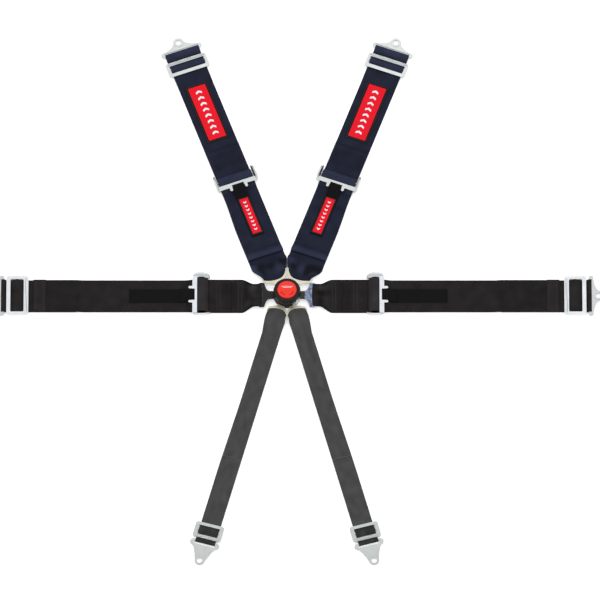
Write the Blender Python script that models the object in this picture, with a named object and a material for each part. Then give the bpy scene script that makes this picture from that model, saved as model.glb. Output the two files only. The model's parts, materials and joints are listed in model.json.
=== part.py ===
"""Six-point racing harness with a rotary cam-lock buckle, laid out flat.

The origin is the centre of the buckle's underside. +Z is up, +Y runs towards the shoulder belts and
+X towards the right lap belt. Lengths below are in millimetres and angles in degrees; the meshes
are made in metres. Each belt has its own frame: x across the belt, y along it away from the buckle.
"""
import math

import bmesh
import bpy
from mathutils import Matrix, Vector
from mathutils.geometry import tessellate_polygon

MM = 0.001
GAP = 0.35                      # clearance kept between touching pieces

# Webbing
WEB = 1.4                       # thickness of the belt webbing
WIDE = 38.0                     # half width of the 3 in webbing
NARROW = 21.5                   # half width of the crotch webbing
PLY_1 = 0.3 + WEB / 2           # centre height of the lowest ply
PLY_2 = PLY_1 + WEB + GAP       # centre height of the ply on it
PLY_3 = PLY_2 + WEB + GAP

# Belt axes: angle from +Y (positive to the left) and where the axis crosses the X axis
SHOULDER_ANGLE = 20.2
SHOULDER_SHIFT = 7.3
SHOULDER_TONGUE_ANGLE = 31.0
LAP_ANGLE = 90.0
CROTCH_ANGLE = 164.6
CROTCH_SHIFT = 10.0
CROTCH_TONGUE_ANGLE = 154.5

# Buckle
BUCKLE_R = 29.0
HOUSING_WALL = 3.0
HOUSING_BASE = 2.3
HOUSING_TOP = 17.0
POST_R = 4.0
POST_TOP = 28.0
CAM_Z = 12.2
CAM_R = 16.0
CAM_LOBE = 1.8
HUB_R = 7.0
KNOB_BASE = 17.6
KNOB_DECK = 23.0
KNOB_TOP = 30.3
FACE_R = 21.6
FACE_TOP = 35.5
SPRING_R = 9.0
SPRING_WIRE = 0.6
SPRING_TURNS = 4
PAWL_INNER = 19.0
PAWL_OUTER = 25.3
PAWL_HALF = 3.0
PAWL_AXIS = (21.85, 10.7)       # distance from the buckle's axis and height of a pawl's hinge
RIVET_R = 1.8
RIVET_RADIUS = 22.0              # distance of the rivets from the buckle's axis
RIVETS = {"rivet_upper": 4.0, "rivet_lower": -4.0}

# Tongues
TONGUE_Z = 6.5
TONGUE_T = 2.5
TONGUE_TIP = 16.8
TONGUE_SLOT = 5.0
TONGUE_BAR = 4.0
TONGUES = {                     # neck half width, slot inner edge radius, half width of the bar
    "shoulder": (9.0, 51.0, 27.0),
    "lap": (9.0, 50.0, 27.0),
    "crotch": (8.0, 48.0, 21.5),
}

# Adjusters: a is the distance from the fixed bar towards the adjustable strap
BAR_R = 2.5
FIXED_BAR_Z = 7.0
SLIDING_BAR_A = 13.0
SLIDING_BAR_Z = 4.5
LOOP_R = BAR_R + 0.3 + WEB / 2  # centreline radius of webbing round a bar
EAR_INNER = 40.5
EAR_OUTER = 43.2
PLATE_Z = 10.2
PLATE_T = 2.0
PLATE_A = (11.0, 21.0)
TOOTH_A = 29.5
TOOTH_MID = 17.0
TOOTH_HALF = 3.0
TAB_SLOT_A = (15.9, 18.6)
TAB_SLOT_HALF = 13.6
TAB_AXIS_A = 19.8
TAB_AXIS_Z = PLATE_Z + PLATE_T / 2
TAB_T = 1.2                     # thickness of the pull tab webbing
TAB_LOOP_R = 1.85 + TAB_T / 2
TAB_NECK = 12.8
TAB_Z = 4.4                     # centre height of the pull tab where it lies on the tail

SHOULDER_FIXED_BAR = 303.0
SHOULDER_TAB_END = 146.0        # in a
SHOULDER_TAB_HALF = 14.0
LAP_TAB_END = 156.5
LAP_TAB_HALF = 15.7
LAP_FIXED_BAR = {"left": 181.5, "right": 187.0}
LAP_SHORTENED = {"left": 40.0, "right": 0.0}    # how much further the left lap belt is pulled in

# Places along the belts
GATHER_END = 98.0
HEM = (104.0, 118.0)            # rolled end of the shoulder tail
PLY_END = 388.0                 # cut end of the doubled outer shoulder strap
LABEL = (411.0, 546.0, 19.6)    # start, end, half width
PULL_LABEL = (52.0, 140.0, 9.6)  # the same in a, on the pull tab
LAP_HEM = (556.0, 582.0)
LAP_FOLD_END = 456.0
LAP_MIDDLE = 119.0
CROTCH_CUT_END = 405.0
SLIDES = {                      # near end, far end, half width outside, half width of the window
    "shoulder": (583.0, 617.0, 45.5, 39.4),
    "lap": (593.5, 640.5, 46.5, 39.4),
    "crotch": (570.5, 607.0, 30.7, 23.0),
}
ANCHORS = {                     # bar, eye, half width, slot half width, slot end, eye radius, leave angle
    "shoulder": (636.0, 659.0, 46.0, 39.2, 6.6, 11.5, 108.0),
    "lap": (647.5, 666.5, 48.5, 39.2, 5.6, 12.0, 130.0),
    "crotch": (613.5, 659.0, 32.0, 22.6, 9.0, 10.5, 130.0),
}
SLIDE_Z = 3.8
SLIDE_T = 3.0
SLIDE_NEAR = 6.0
SLIDE_FAR = 5.0
SLIDE_BAR_R = 1.8
SLIDE_BAR_Z = 3.6
ANCHOR_Z = 4.5                  # mid height of the anchor tab, and of its joint
ANCHOR_T = 3.0
BOLT_R = 6.2
BOSS_H = 0.6
BOSS_WIDTH = 1.2                # how far the boss stays inside the eye's outline


# ------------------------------------------------------------------ materials
COLOURS = {                     # colour, roughness, metallic
    "webbing_navy": ((0.020, 0.022, 0.036), 0.80, 0.0),
    "webbing_black": ((0.022, 0.020, 0.021), 0.80, 0.0),
    "webbing_grey": ((0.070, 0.070, 0.071), 0.82, 0.0),
    "pull_tab_black": ((0.012, 0.012, 0.013), 0.85, 0.0),
    "label_red": ((0.75, 0.015, 0.03), 0.70, 0.0),
    "zinc_steel": ((0.62, 0.64, 0.64), 0.38, 1.0),
    "chrome": ((0.78, 0.79, 0.80), 0.12, 1.0),
    "tongue_steel": ((0.72, 0.71, 0.64), 0.30, 1.0),
    "black_steel": ((0.02, 0.02, 0.022), 0.35, 0.4),
    "black_plastic": ((0.015, 0.015, 0.016), 0.45, 0.0),
    "red_plastic": ((0.80, 0.05, 0.02), 0.35, 0.0),
    "spring_steel": ((0.45, 0.45, 0.46), 0.30, 1.0),
}


def material_for(name, slot):
    """A Principled material of the sub-part's own, in the slot's colour."""
    colour, roughness, metallic = COLOURS[slot]
    material = bpy.data.materials.new(name)
    material.use_nodes = True
    shader = material.node_tree.nodes["Principled BSDF"]
    shader.inputs["Base Color"].default_value = (*colour, 1.0)
    shader.inputs["Roughness"].default_value = roughness
    shader.inputs["Metallic"].default_value = metallic
    material.diffuse_color = (*colour, 1.0)
    return material


# ------------------------------------------------------------------ frames and objects
def belt_frame(angle, shift=0.0):
    """Frame of a belt that leaves the buckle at an angle from +Y, measured to the left."""
    return Matrix.Translation((shift, 0, 0)) @ Matrix.Rotation(math.radians(angle), 4, "Z")


def pivot_at(name, frame, point):
    """An empty on a joint's axis; the pieces that move about it are its children."""
    pivot = bpy.data.objects.new(name, None)
    pivot.matrix_world = Matrix.Translation(frame @ Vector(point) * MM)
    bpy.context.collection.objects.link(pivot)
    return pivot


def add_object(name, verts, faces, slot, frame=Matrix(), pivot=None):
    """Mesh object from vertices in millimetres in the given frame, placed by that frame."""
    mesh = bpy.data.meshes.new(name)
    mesh.from_pydata([Vector(v) * MM for v in verts], [], faces)
    work = bmesh.new()
    work.from_mesh(mesh)
    bmesh.ops.remove_doubles(work, verts=work.verts, dist=1e-7)
    bmesh.ops.recalc_face_normals(work, faces=work.faces)
    work.to_mesh(mesh)
    work.free()
    thing = bpy.data.objects.new(name, mesh)
    bpy.context.collection.objects.link(thing)
    if slot:
        mesh.materials.append(material_for(name, slot))
    place = frame.copy()
    place.translation = frame.translation * MM
    if pivot:
        thing.parent = pivot
        place = Matrix.Translation(-pivot.matrix_world.translation) @ place
    thing.matrix_local = place
    return thing


def combine(base, other, operation, solver="EXACT"):
    """Boolean of a hidden helper with the base object."""
    other.hide_render = True
    other.display_type = "WIRE"
    cut = base.modifiers.new(operation.lower(), "BOOLEAN")
    cut.operation = operation
    cut.solver = solver
    cut.object = other


# ------------------------------------------------------------------ solids
def plate(outline, holes, low, high):
    """Flat plate from a 2D outline with holes, between two heights."""
    loops = [outline] + list(holes)
    flat = [point for loop in loops for point in loop]
    count = len(flat)
    verts = [(x, y, low) for x, y in flat] + [(x, y, high) for x, y in flat]
    triangles = tessellate_polygon([[Vector((x, y, 0)) for x, y in loop] for loop in loops])
    faces = [(a, b, c) for a, b, c in triangles] + [(a + count, b + count, c + count) for a, b, c in triangles]
    start = 0
    for loop in loops:
        size = len(loop)
        for i in range(size):
            a, b = start + i, start + (i + 1) % size
            faces.append((a, b, b + count, a + count))
        start += size
    return verts, faces


def turned(profile, steps=32, lobes=None):
    """Solid of revolution about Z from a closed (r, z) profile; lobes(r, angle) may vary the radius."""
    verts, rings = [], []
    for r, z in profile:
        if r == 0:
            rings.append([len(verts)] * steps)
            verts.append((0, 0, z))
            continue
        rings.append(list(range(len(verts), len(verts) + steps)))
        for i in range(steps):
            angle = math.tau * i / steps
            radius = lobes(r, angle) if lobes else r
            verts.append((radius * math.cos(angle), radius * math.sin(angle), z))
    faces = []
    for k, ring in enumerate(rings):
        following = rings[(k + 1) % len(rings)]
        for i in range(steps):
            j = (i + 1) % steps
            corners = []
            for corner in (ring[i], ring[j], following[j], following[i]):
                if corner not in corners:
                    corners.append(corner)
            if len(corners) > 2:
                faces.append(corners)
    return verts, faces


def rod(centre, half_length, radius, steps=14):
    """Round bar along x."""
    verts, faces = [], []
    for x in (centre[0] - half_length, centre[0] + half_length):
        for i in range(steps):
            angle = math.tau * i / steps
            verts.append((x, centre[1] + radius * math.cos(angle), centre[2] + radius * math.sin(angle)))
    for i in range(steps):
        j = (i + 1) % steps
        faces.append((i, j, steps + j, steps + i))
    faces.append(list(range(steps)))
    faces.append(list(range(steps, 2 * steps)))
    return verts, faces


def block(x, y, z):
    """Box from three (low, high) pairs."""
    verts = [(a, b, c) for a in x for b in y for c in z]
    faces = [(0, 1, 3, 2), (4, 5, 7, 6), (0, 1, 5, 4), (2, 3, 7, 6), (0, 2, 6, 4), (1, 3, 7, 5)]
    return verts, faces


def strip(stations, thickness):
    """Band of webbing. A station is (centre, unit vector across, half width)."""
    verts, faces = [], []
    count = len(stations)
    for i, (centre, across, half) in enumerate(stations):
        before = stations[max(i - 1, 0)][0]
        after = stations[min(i + 1, count - 1)][0]
        normal = across.cross(after - before).normalized()
        for side, lift in ((-1, -1), (1, -1), (1, 1), (-1, 1)):
            verts.append(centre + across * (side * half) + normal * (lift * thickness / 2))
    for i in range(count - 1):
        for k in range(4):
            a, b = 4 * i + k, 4 * i + (k + 1) % 4
            faces.append((a, b, b + 4, a + 4))
    faces.append((0, 1, 2, 3))
    last = 4 * (count - 1)
    faces.append((last, last + 1, last + 2, last + 3))
    return verts, faces


# ------------------------------------------------------------------ curves in a plane
def arc(centre, radius, start, end, steps=8):
    """Points on an arc from one angle to the other."""
    points = []
    for i in range(steps + 1):
        angle = math.radians(start + (end - start) * i / steps)
        points.append((centre[0] + radius * math.cos(angle), centre[1] + radius * math.sin(angle)))
    return points


def bezier(a, b, c, d, steps=6):
    """Inner points of a cubic Bezier curve, without its ends."""
    points = []
    for i in range(1, steps):
        u = i / steps
        weights = ((1 - u) ** 3, 3 * u * (1 - u) ** 2, 3 * u * u * (1 - u), u ** 3)
        points.append(tuple(sum(w * p[k] for w, p in zip(weights, (a, b, c, d))) for k in (0, 1)))
    return points


def mirrored(half):
    """Closed outline from its right half, listed from the bottom up."""
    return half + [(-x, y) for x, y in reversed(half) if x > 1e-6]


def rounded_box(half, low, high, radius, steps=4):
    """Rectangle with round corners, symmetric about x = 0."""
    right = arc((half - radius, low + radius), radius, -90, 0, steps)
    right += arc((half - radius, high - radius), radius, 0, 90, steps)
    return mirrored(right)


def circle(centre, radius, steps=20):
    """Points round a circle, without repeating the first."""
    return arc(centre, radius, 0, 360 * (steps - 1) / steps, steps - 1)


def ease(u):
    """Smooth step from 0 to 1."""
    u = min(max(u, 0.0), 1.0)
    return u * u * (3 - 2 * u)


def mix(a, b, u):
    """Value at u between a and b."""
    return a + (b - a) * u


def band(path, half):
    """Stations of a belt of constant width in its own frame, from (y, z) points."""
    return [(Vector((0, y, z)), Vector((1, 0, 0)), half) for y, z in path]


# ------------------------------------------------------------------ buckle
def make_buckle():
    """Housing, post, cam, spring, knob and what holds them together."""
    outer = turned([(0, 0), (26.5, 0), (28.0, 0.8), (28.0, 2.0), (0, 2.0)])
    add_object("back_plate", *outer, "black_steel")

    inner = BUCKLE_R - HOUSING_WALL
    housing = add_object("housing", *turned([
        (11.0, HOUSING_TOP), (11.0, HOUSING_TOP - 2), (inner, HOUSING_TOP - 2), (inner, HOUSING_BASE),
        (BUCKLE_R - 0.8, HOUSING_BASE), (BUCKLE_R, HOUSING_BASE + 1.2), (BUCKLE_R, HOUSING_TOP - 1),
        (BUCKLE_R - 1, HOUSING_TOP)], 48), "chrome")
    for name, angle in tongue_angles().items():
        neck = TONGUES[name.split("_")[0]][0] + 0.5
        mouth = block((-neck, neck), (inner - 2, BUCKLE_R + 2), (TONGUE_Z - 0.5, TONGUE_Z + TONGUE_T + 0.5))
        cutter = add_object("mouth_" + name, *mouth, None, belt_frame(angle))
        combine(housing, cutter, "DIFFERENCE")

    add_object("centre_post", *turned([(0, 2.3), (POST_R, 2.3), (POST_R, POST_TOP), (0, POST_TOP)], 20),
               "black_steel")
    clip = turned([(4.25, 26.6), (6.5, 26.6), (6.5, 27.6), (4.25, 27.6)], 20)
    add_object("retaining_clip", *clip, "spring_steel")
    make_spring()

    knob_pivot = pivot_at("knob_pivot", Matrix(), (0, 0, KNOB_DECK))
    bore = POST_R + 0.3
    cam = turned([(bore, CAM_Z), (CAM_R, CAM_Z), (CAM_R, CAM_Z + 2), (HUB_R, CAM_Z + 2), (HUB_R, 22.6),
                  (bore, 22.6)], 36, lambda r, angle: r + (CAM_LOBE * math.cos(6 * angle) if r == CAM_R else 0))
    add_object("cam_plate", *cam, "zinc_steel", pivot=knob_pivot)
    knob = turned([(bore, KNOB_DECK), (25.5, KNOB_DECK), (25.5, KNOB_BASE), (BUCKLE_R, KNOB_BASE),
                   (BUCKLE_R, 28.0), (28.0, 29.6), (26.0, KNOB_TOP), (22.0, KNOB_TOP), (22.0, 26.2),
                   (bore, 26.2)], 48,
                  lambda r, angle: r - (0.8 * max(0, math.cos(6 * angle)) ** 4 if r == BUCKLE_R else 0))
    add_object("knob", *knob, "black_plastic", pivot=knob_pivot)
    face = turned([(0, 28.6), (12.0, 28.6), (12.0, 26.5), (FACE_R, 26.5), (FACE_R, 31.2), (20.0, 32.8),
                   (14.0, 34.4), (7.0, 35.2), (0, FACE_TOP)], 40)
    add_object("knob_face", *face, "red_plastic", pivot=knob_pivot)

    for name, angle in tongue_angles().items():
        if name == "lap_left":
            continue
        pivot = pivot_at("pawl_pivot_" + name, belt_frame(angle), (0, *PAWL_AXIS))
        place = belt_frame(angle) @ Matrix.Translation((0, *PAWL_AXIS))
        add_object("pawl_" + name, *make_pawl(), "zinc_steel", place, pivot)
    for name, offset in RIVETS.items():
        rivet = turned([(0, 2.3), (RIVET_R, 2.3), (RIVET_R, 9.5), (RIVET_R + 0.9, 9.5), (RIVET_R + 0.9, 10.6),
                        (0, 10.6)], 12)
        frame = belt_frame(LAP_ANGLE) @ Matrix.Translation((offset, RIVET_RADIUS, 0))
        add_object(name, *rivet, "spring_steel", frame)


def make_pawl():
    """Rocking pawl about its own centre: the outer end hangs lower, over the tongue's latch hole."""
    reach = PAWL_AXIS[0] - PAWL_INNER
    lower = [(-reach, -0.3), (-0.3, -0.3), (0.3, -1.3), (reach, -1.3)]
    upper = [(-y, -z) for y, z in lower]
    verts, faces = plate(lower + upper, [], -PAWL_HALF, PAWL_HALF)
    return [(x, y, z) for y, z, x in verts], faces


def make_spring():
    """Return spring wound round the cam's hub, one closed wire."""
    steps = 14 * SPRING_TURNS
    sides = 6
    low, high = CAM_Z + 2 + SPRING_WIRE + GAP, 22.6 - SPRING_WIRE
    verts, faces = [], []
    for i in range(steps + 1):
        turn = math.tau * SPRING_TURNS * i / steps
        height = mix(low, high, i / steps)
        out = Vector((math.cos(turn), math.sin(turn), 0))
        for k in range(sides):
            around = math.tau * k / sides
            verts.append(out * (SPRING_R + SPRING_WIRE * math.cos(around))
                         + Vector((0, 0, height + SPRING_WIRE * math.sin(around))))
    for i in range(steps):
        for k in range(sides):
            a, b = i * sides + k, i * sides + (k + 1) % sides
            faces.append((a, b, b + sides, a + sides))
    faces.append(list(range(sides)))
    faces.append(list(range(steps * sides, (steps + 1) * sides)))
    add_object("return_spring", verts, faces, "spring_steel")


# ------------------------------------------------------------------ tongues
def tongue_angles():
    """Angle of every tongue round the buckle."""
    return {"shoulder_left": SHOULDER_TONGUE_ANGLE, "shoulder_right": -SHOULDER_TONGUE_ANGLE,
            "lap_left": LAP_ANGLE, "lap_right": -LAP_ANGLE,
            "crotch_left": CROTCH_TONGUE_ANGLE, "crotch_right": -CROTCH_TONGUE_ANGLE}


def make_tongue(name, angle, pivot):
    """T-shaped latch plate: tip with a latch hole, neck, and a slotted bar for the webbing."""
    neck, slot, half = TONGUES[name.split("_")[0]]
    end = slot + TONGUE_SLOT + TONGUE_BAR
    right = arc((4.3, TONGUE_TIP + 2.2), 2.2, -90, 0, 3)
    right += [(neck, 30.0), (neck, slot - 13.0)]
    right += bezier((neck, slot - 13.0), (neck + 0.5, slot - 6), (half - 9, slot - 4.2), (half - 3, slot - 3.5))
    right += arc((half - 3, slot - 0.5), 3, -90, 0, 3) + arc((half - 3, end - 3), 3, 0, 90, 3)
    holes = [rounded_box(half - 4, slot, slot + TONGUE_SLOT, 1.5, 3)]
    if name == "lap_left":
        holes += [circle((offset, RIVET_RADIUS), RIVET_R + 0.3, 12) for offset in RIVETS.values()]
    else:
        holes.append(rounded_box(PAWL_HALF + 0.5, PAWL_INNER + 0.6, PAWL_OUTER, 0.8, 2))
    shape = plate(mirrored(right), holes, TONGUE_Z, TONGUE_Z + TONGUE_T)
    slot_name = "black_steel" if name == "lap_left" else "tongue_steel"
    add_object(name + "_tongue", *shape, slot_name, belt_frame(angle), pivot)


def gather(name, belt, tongue, full):
    """Functions for the stretch from the tongue to the full-width belt: a station at (u, ply)."""
    slot = TONGUES[name][1]
    end = slot + TONGUE_SLOT + TONGUE_BAR
    narrow = TONGUES[name][2] - 4.6
    start = tongue @ Vector((0, end + 1.5, 0))
    stop = belt @ Vector((0, GATHER_END, 0))
    reach = (stop - start).length / 3
    first = start + tongue.to_3x3() @ Vector((0, reach, 0))
    second = stop - belt.to_3x3() @ Vector((0, reach, 0))
    across_a = tongue.to_3x3() @ Vector((1, 0, 0))
    across_b = belt.to_3x3() @ Vector((1, 0, 0))

    def station(u, upper):
        weights = ((1 - u) ** 3, 3 * u * (1 - u) ** 2, 3 * u * u * (1 - u), u ** 3)
        centre = sum((w * p for w, p in zip(weights, (start, first, second, stop))), Vector())
        height = mix(TONGUE_Z - GAP - WEB / 2, PLY_1, ease(u))
        if upper:
            height += mix(TONGUE_T + 2 * GAP + WEB, WEB + GAP, ease(u / 0.6))
        centre.z = height
        return centre, across_a.lerp(across_b, ease(u)).normalized(), mix(narrow, full, ease(u))

    return station, narrow


def tongue_loop(name, belt, tongue, full, upper_from):
    """Webbing stations in the belt's frame: upper ply in from u = upper_from, round the bar, lower ply out."""
    station, narrow = gather(name, belt, tongue, full)
    bar_in = TONGUES[name][1] + TONGUE_SLOT
    offset = GAP + WEB / 2
    low, high = TONGUE_Z - offset, TONGUE_Z + TONGUE_T + offset
    round_r = 1.4
    path = arc((bar_in - offset + round_r, high - round_r), round_r, 90, 180, 3)
    path += arc((bar_in - offset + round_r, low + round_r), round_r, 180, 270, 3)
    across = tongue.to_3x3() @ Vector((1, 0, 0))
    stations = [station(upper_from * (1 - i / 6), True) for i in range(7)]
    stations += [(tongue @ Vector((0, y, z)), across, narrow) for y, z in path]
    stations += [station(i / 8, False) for i in range(9)]
    back = belt.inverted()
    turn = back.to_3x3()
    return [(back @ centre, turn @ direction, half) for centre, direction, half in stations]


# ------------------------------------------------------------------ slide and anchor ends
def weave(slide, rise, low_z, over_z, start_in):
    """One ply under the slide's near bar, over its middle bar and under its far bar."""
    near, far = slide[0], slide[1]
    middle = (near + SLIDE_NEAR + far - SLIDE_FAR) / 2
    return [(near + SLIDE_NEAR + start_in, low_z), (middle - rise, over_z - 0.15), (middle, over_z),
            (middle + rise, over_z - 0.15), (far - SLIDE_FAR - start_in, low_z)]


def anchor_loop(name, shift=0.0):
    """The two plies through the slide and round the anchor tab's bar, from upper to lower, going out."""
    slide = [value - shift for value in SLIDES[name][:2]]
    bar, leave = ANCHORS[name][0] - shift, ANCHORS[name][6]
    over = SLIDE_BAR_Z + SLIDE_BAR_R + GAP + WEB / 2
    upper = weave(slide, 2.4, PLY_2, over + WEB + 0.55, 0.4) + [(slide[1] + 0.6, PLY_2)]
    lower = weave(slide, 1.5, PLY_1, over, 1.2)
    loop = arc((bar, ANCHOR_Z), LOOP_R, leave, -90, 12)
    return upper + loop + lower[::-1]


def make_slide(name, shift, frame):
    """Three-bar slide: a frame with a round middle bar that the webbing passes over."""
    kind = name.split("_")[0]
    near, far, half, window = SLIDES[kind]
    near, far = near - shift, far - shift
    outline = rounded_box(half, near, far, 4.0)
    hole = rounded_box(window, near + SLIDE_NEAR, far - SLIDE_FAR, 1.5, 3)
    slide = add_object(name + "_slide", *plate(outline, [hole], SLIDE_Z, SLIDE_Z + SLIDE_T), "zinc_steel", frame)
    middle = (near + SLIDE_NEAR + far - SLIDE_FAR) / 2
    bar = rod((0, middle, SLIDE_BAR_Z), window + 3.0, SLIDE_BAR_R)
    combine(slide, add_object(name + "_slide_bar", *bar, None, frame), "UNION")


def make_anchor(name, shift, frame):
    """Bolt-in anchor tab: slotted wings for the webbing and an eye with a flat boss for the bolt."""
    kind = name.split("_")[0]
    bar, eye, half, slot_half, slot_end, eye_r, _ = ANCHORS[kind]
    reach = eye - bar
    axis = (0, bar - shift, ANCHOR_Z)
    low, high = -ANCHOR_T / 2, ANCHOR_T / 2
    wing_r = (slot_end + 5.0) / 2
    right = [(half - 5.0, -2.0)] + arc((half - wing_r, wing_r - 2.0), wing_r, -50, 75, 6)
    touch = (eye_r * math.cos(math.radians(12)), reach + eye_r * math.sin(math.radians(12)))
    right += bezier(right[-1], (mix(eye_r, half, 0.45), wing_r * 1.7), (eye_r + 1.5, reach - 5), touch)
    right += arc((0, reach), eye_r, 12, 90, 6)
    outline = mirrored(right)
    slot = rounded_box(slot_half, 2.0, slot_end, 1.2, 2)
    boss = circle((0, reach), eye_r - BOSS_WIDTH, 24)
    hole = circle((0, reach), BOLT_R, 24)
    loops = [outline, slot, boss, hole]
    starts = [0]
    for loop in loops:
        starts.append(starts[-1] + len(loop))
    bottom = [(x, y, low) for loop in (outline, slot, hole) for x, y in loop]
    base = len(bottom)
    top = [(x, y, high) for loop in (outline, slot, boss) for x, y in loop]
    raised = [(x, y, high + BOSS_H) for loop in (boss, hole) for x, y in loop]
    verts = bottom + top + raised
    faces = []
    for tri in tessellate_polygon([[Vector((*p, 0)) for p in loop] for loop in (outline, slot, hole)]):
        faces.append(tuple(tri))
    for tri in tessellate_polygon([[Vector((*p, 0)) for p in loop] for loop in (outline, slot, boss)]):
        faces.append(tuple(base + i for i in tri))
    side = len(outline) + len(slot)
    ring = len(boss)
    raised_at = base + len(top)

    def wall(a_start, b_start, size):
        for i in range(size):
            j = (i + 1) % size
            faces.append((a_start + i, a_start + j, b_start + j, b_start + i))

    wall(0, base, len(outline))
    wall(len(outline), base + len(outline), len(slot))
    wall(base + side, raised_at, ring)
    wall(raised_at, raised_at + ring, ring)
    wall(raised_at + ring, side, ring)
    pivot = pivot_at(name + "_anchor_pivot", frame, axis)
    place = frame @ Matrix.Translation(axis)
    add_object(name + "_anchor_tab", verts, faces, "zinc_steel", place, pivot)


# ------------------------------------------------------------------ adjusters
def ear_outline():
    """Side view of an adjuster ear in (a, z), with an open notch for the sliding bar's end."""
    notch = arc((SLIDING_BAR_A, SLIDING_BAR_Z), BAR_R + 0.35, 0, 180, 6)
    return ([(-12.5, 5.7), (-6.0, 3.2), (4.0, 2.2), (8.6, 2.0)] + notch[::-1]
            + [(SLIDING_BAR_A + BAR_R + 0.35, 2.2), (17.6, 2.6), (21.2, 7.2), (21.2, 12.6), (-3.0, 12.6),
               (-9.0, 11.4), (-12.4, 9.6), (-13.2, 7.6)])


def adjuster_plate_outline():
    """Top plate of an adjuster in (x, a), with two teeth that guard the pull tab."""
    low, high = PLATE_A
    inner, outer = TOOTH_MID - TOOTH_HALF, TOOTH_MID + TOOTH_HALF
    right = [(0, low), (EAR_INNER + 1.3, low), (EAR_INNER + 1.3, high), (outer, high)]
    right += arc((TOOTH_MID, TOOTH_A - TOOTH_HALF), TOOTH_HALF, 0, 180, 6)
    right += [(inner, high), (0, high)]
    left = [(-x, a) for x, a in reversed(right) if x > 0]
    return right + left


def make_adjuster(name, fixed_bar, sign, frame, pivot):
    """Adjuster frame with its fixed bar, the sliding bar, and the pull tab in the plate's slot."""
    across = frame.to_3x3() @ Vector((sign, 0, 0))
    local = Matrix.Translation(frame @ Vector((0, fixed_bar, 0)))
    local = local @ Matrix.Rotation(math.atan2(across.y, across.x), 4, "Z")
    tilt = pivot_at(name + "_adjuster_pivot", local, (0, 0, FIXED_BAR_Z))
    reparent(tilt, pivot)
    slot = rounded_box(TAB_SLOT_HALF, *TAB_SLOT_A, 0.8, 2)
    top = plate(adjuster_plate_outline(), [slot], PLATE_Z, PLATE_Z + PLATE_T)
    slot_name = "chrome" if name.startswith("lap") else "zinc_steel"
    body = add_object(name + "_adjuster_frame", *top, slot_name, local)
    reparent(body, tilt)
    for side in (-1, 1):
        verts, faces = plate(ear_outline(), [], min(side * EAR_INNER, side * EAR_OUTER),
                             max(side * EAR_INNER, side * EAR_OUTER))
        verts = [(x, a, z) for a, z, x in verts]
        combine(body, add_object(f"{name}_ear_{side}", verts, faces, None, local), "UNION", "MANIFOLD")
    bar = rod((0, 0, FIXED_BAR_Z), EAR_INNER + 1.4, BAR_R)
    combine(body, add_object(name + "_fixed_bar", *bar, None, local), "UNION", "MANIFOLD")
    sliding = rod((0, SLIDING_BAR_A, SLIDING_BAR_Z), EAR_OUTER - 0.6, BAR_R)
    reparent(add_object(name + "_adjuster_bar", *sliding, "zinc_steel", local), pivot)
    make_pull_tab(name, local, tilt)


def make_pull_tab(name, local, tilt):
    """Release tab: webbing looped through the plate's slot, lying out along the strap."""
    shoulder = name.startswith("shoulder")
    end, half = (SHOULDER_TAB_END, SHOULDER_TAB_HALF) if shoulder else (LAP_TAB_END, LAP_TAB_HALF)
    centre = (TAB_AXIS_A, TAB_AXIS_Z)
    path = [(48.0, TAB_Z + TAB_T + GAP), (42.0, TAB_Z + TAB_T + GAP + 0.1)]
    path += arc(centre, TAB_LOOP_R, 70, 258, 10)
    path += [(40.0, TAB_Z), (end - 2, TAB_Z), (end, TAB_Z)]
    stations = []
    for a, z in path:
        spread = mix(TAB_NECK, half, ease((a - 30.5) / 8))
        stations.append((Vector((0, a, z)), Vector((1, 0, 0)), spread))
    hinge = pivot_at(name + "_pull_tab_pivot", local, (0, TAB_AXIS_A, TAB_AXIS_Z))
    reparent(hinge, tilt)
    reparent(add_object(name + "_pull_tab", *strip(stations, TAB_T), "pull_tab_black", local), hinge)
    if shoulder:
        low, high, width = PULL_LABEL
        top = TAB_Z + TAB_T / 2 + GAP
        label = block((-width, width), (low, high), (top, top + 0.7))
        reparent(add_object(name + "_pull_label", *label, "label_red", local), hinge)


def reparent(thing, parent):
    """Parent without moving, for an object placed in world coordinates."""
    if not parent:
        return
    bpy.context.view_layer.update()
    world = thing.matrix_world.copy()
    thing.parent = parent
    bpy.context.view_layer.update()
    thing.matrix_local = parent.matrix_world.inverted() @ world
    bpy.context.view_layer.update()


def fixed_bar_loop(bar, sign):
    """Webbing round a fixed bar from its top to its bottom; the plies leave against the sign's side."""
    points = arc((0, 0), LOOP_R, 105, -82, 12)
    return [(bar + sign * y, FIXED_BAR_Z + z) for y, z in points]


def sliding_bar_loop(bar, sign):
    """Webbing round a sliding bar from its bottom to its top and down onto the strap again."""
    points = arc((0, 0), LOOP_R, -90, 104, 12)
    loop = [(bar - sign * y, SLIDING_BAR_Z + z) for y, z in points]
    return loop + [(bar + sign * 20.5, PLY_2 + 0.3), (bar + sign * 24, PLY_2)]


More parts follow.
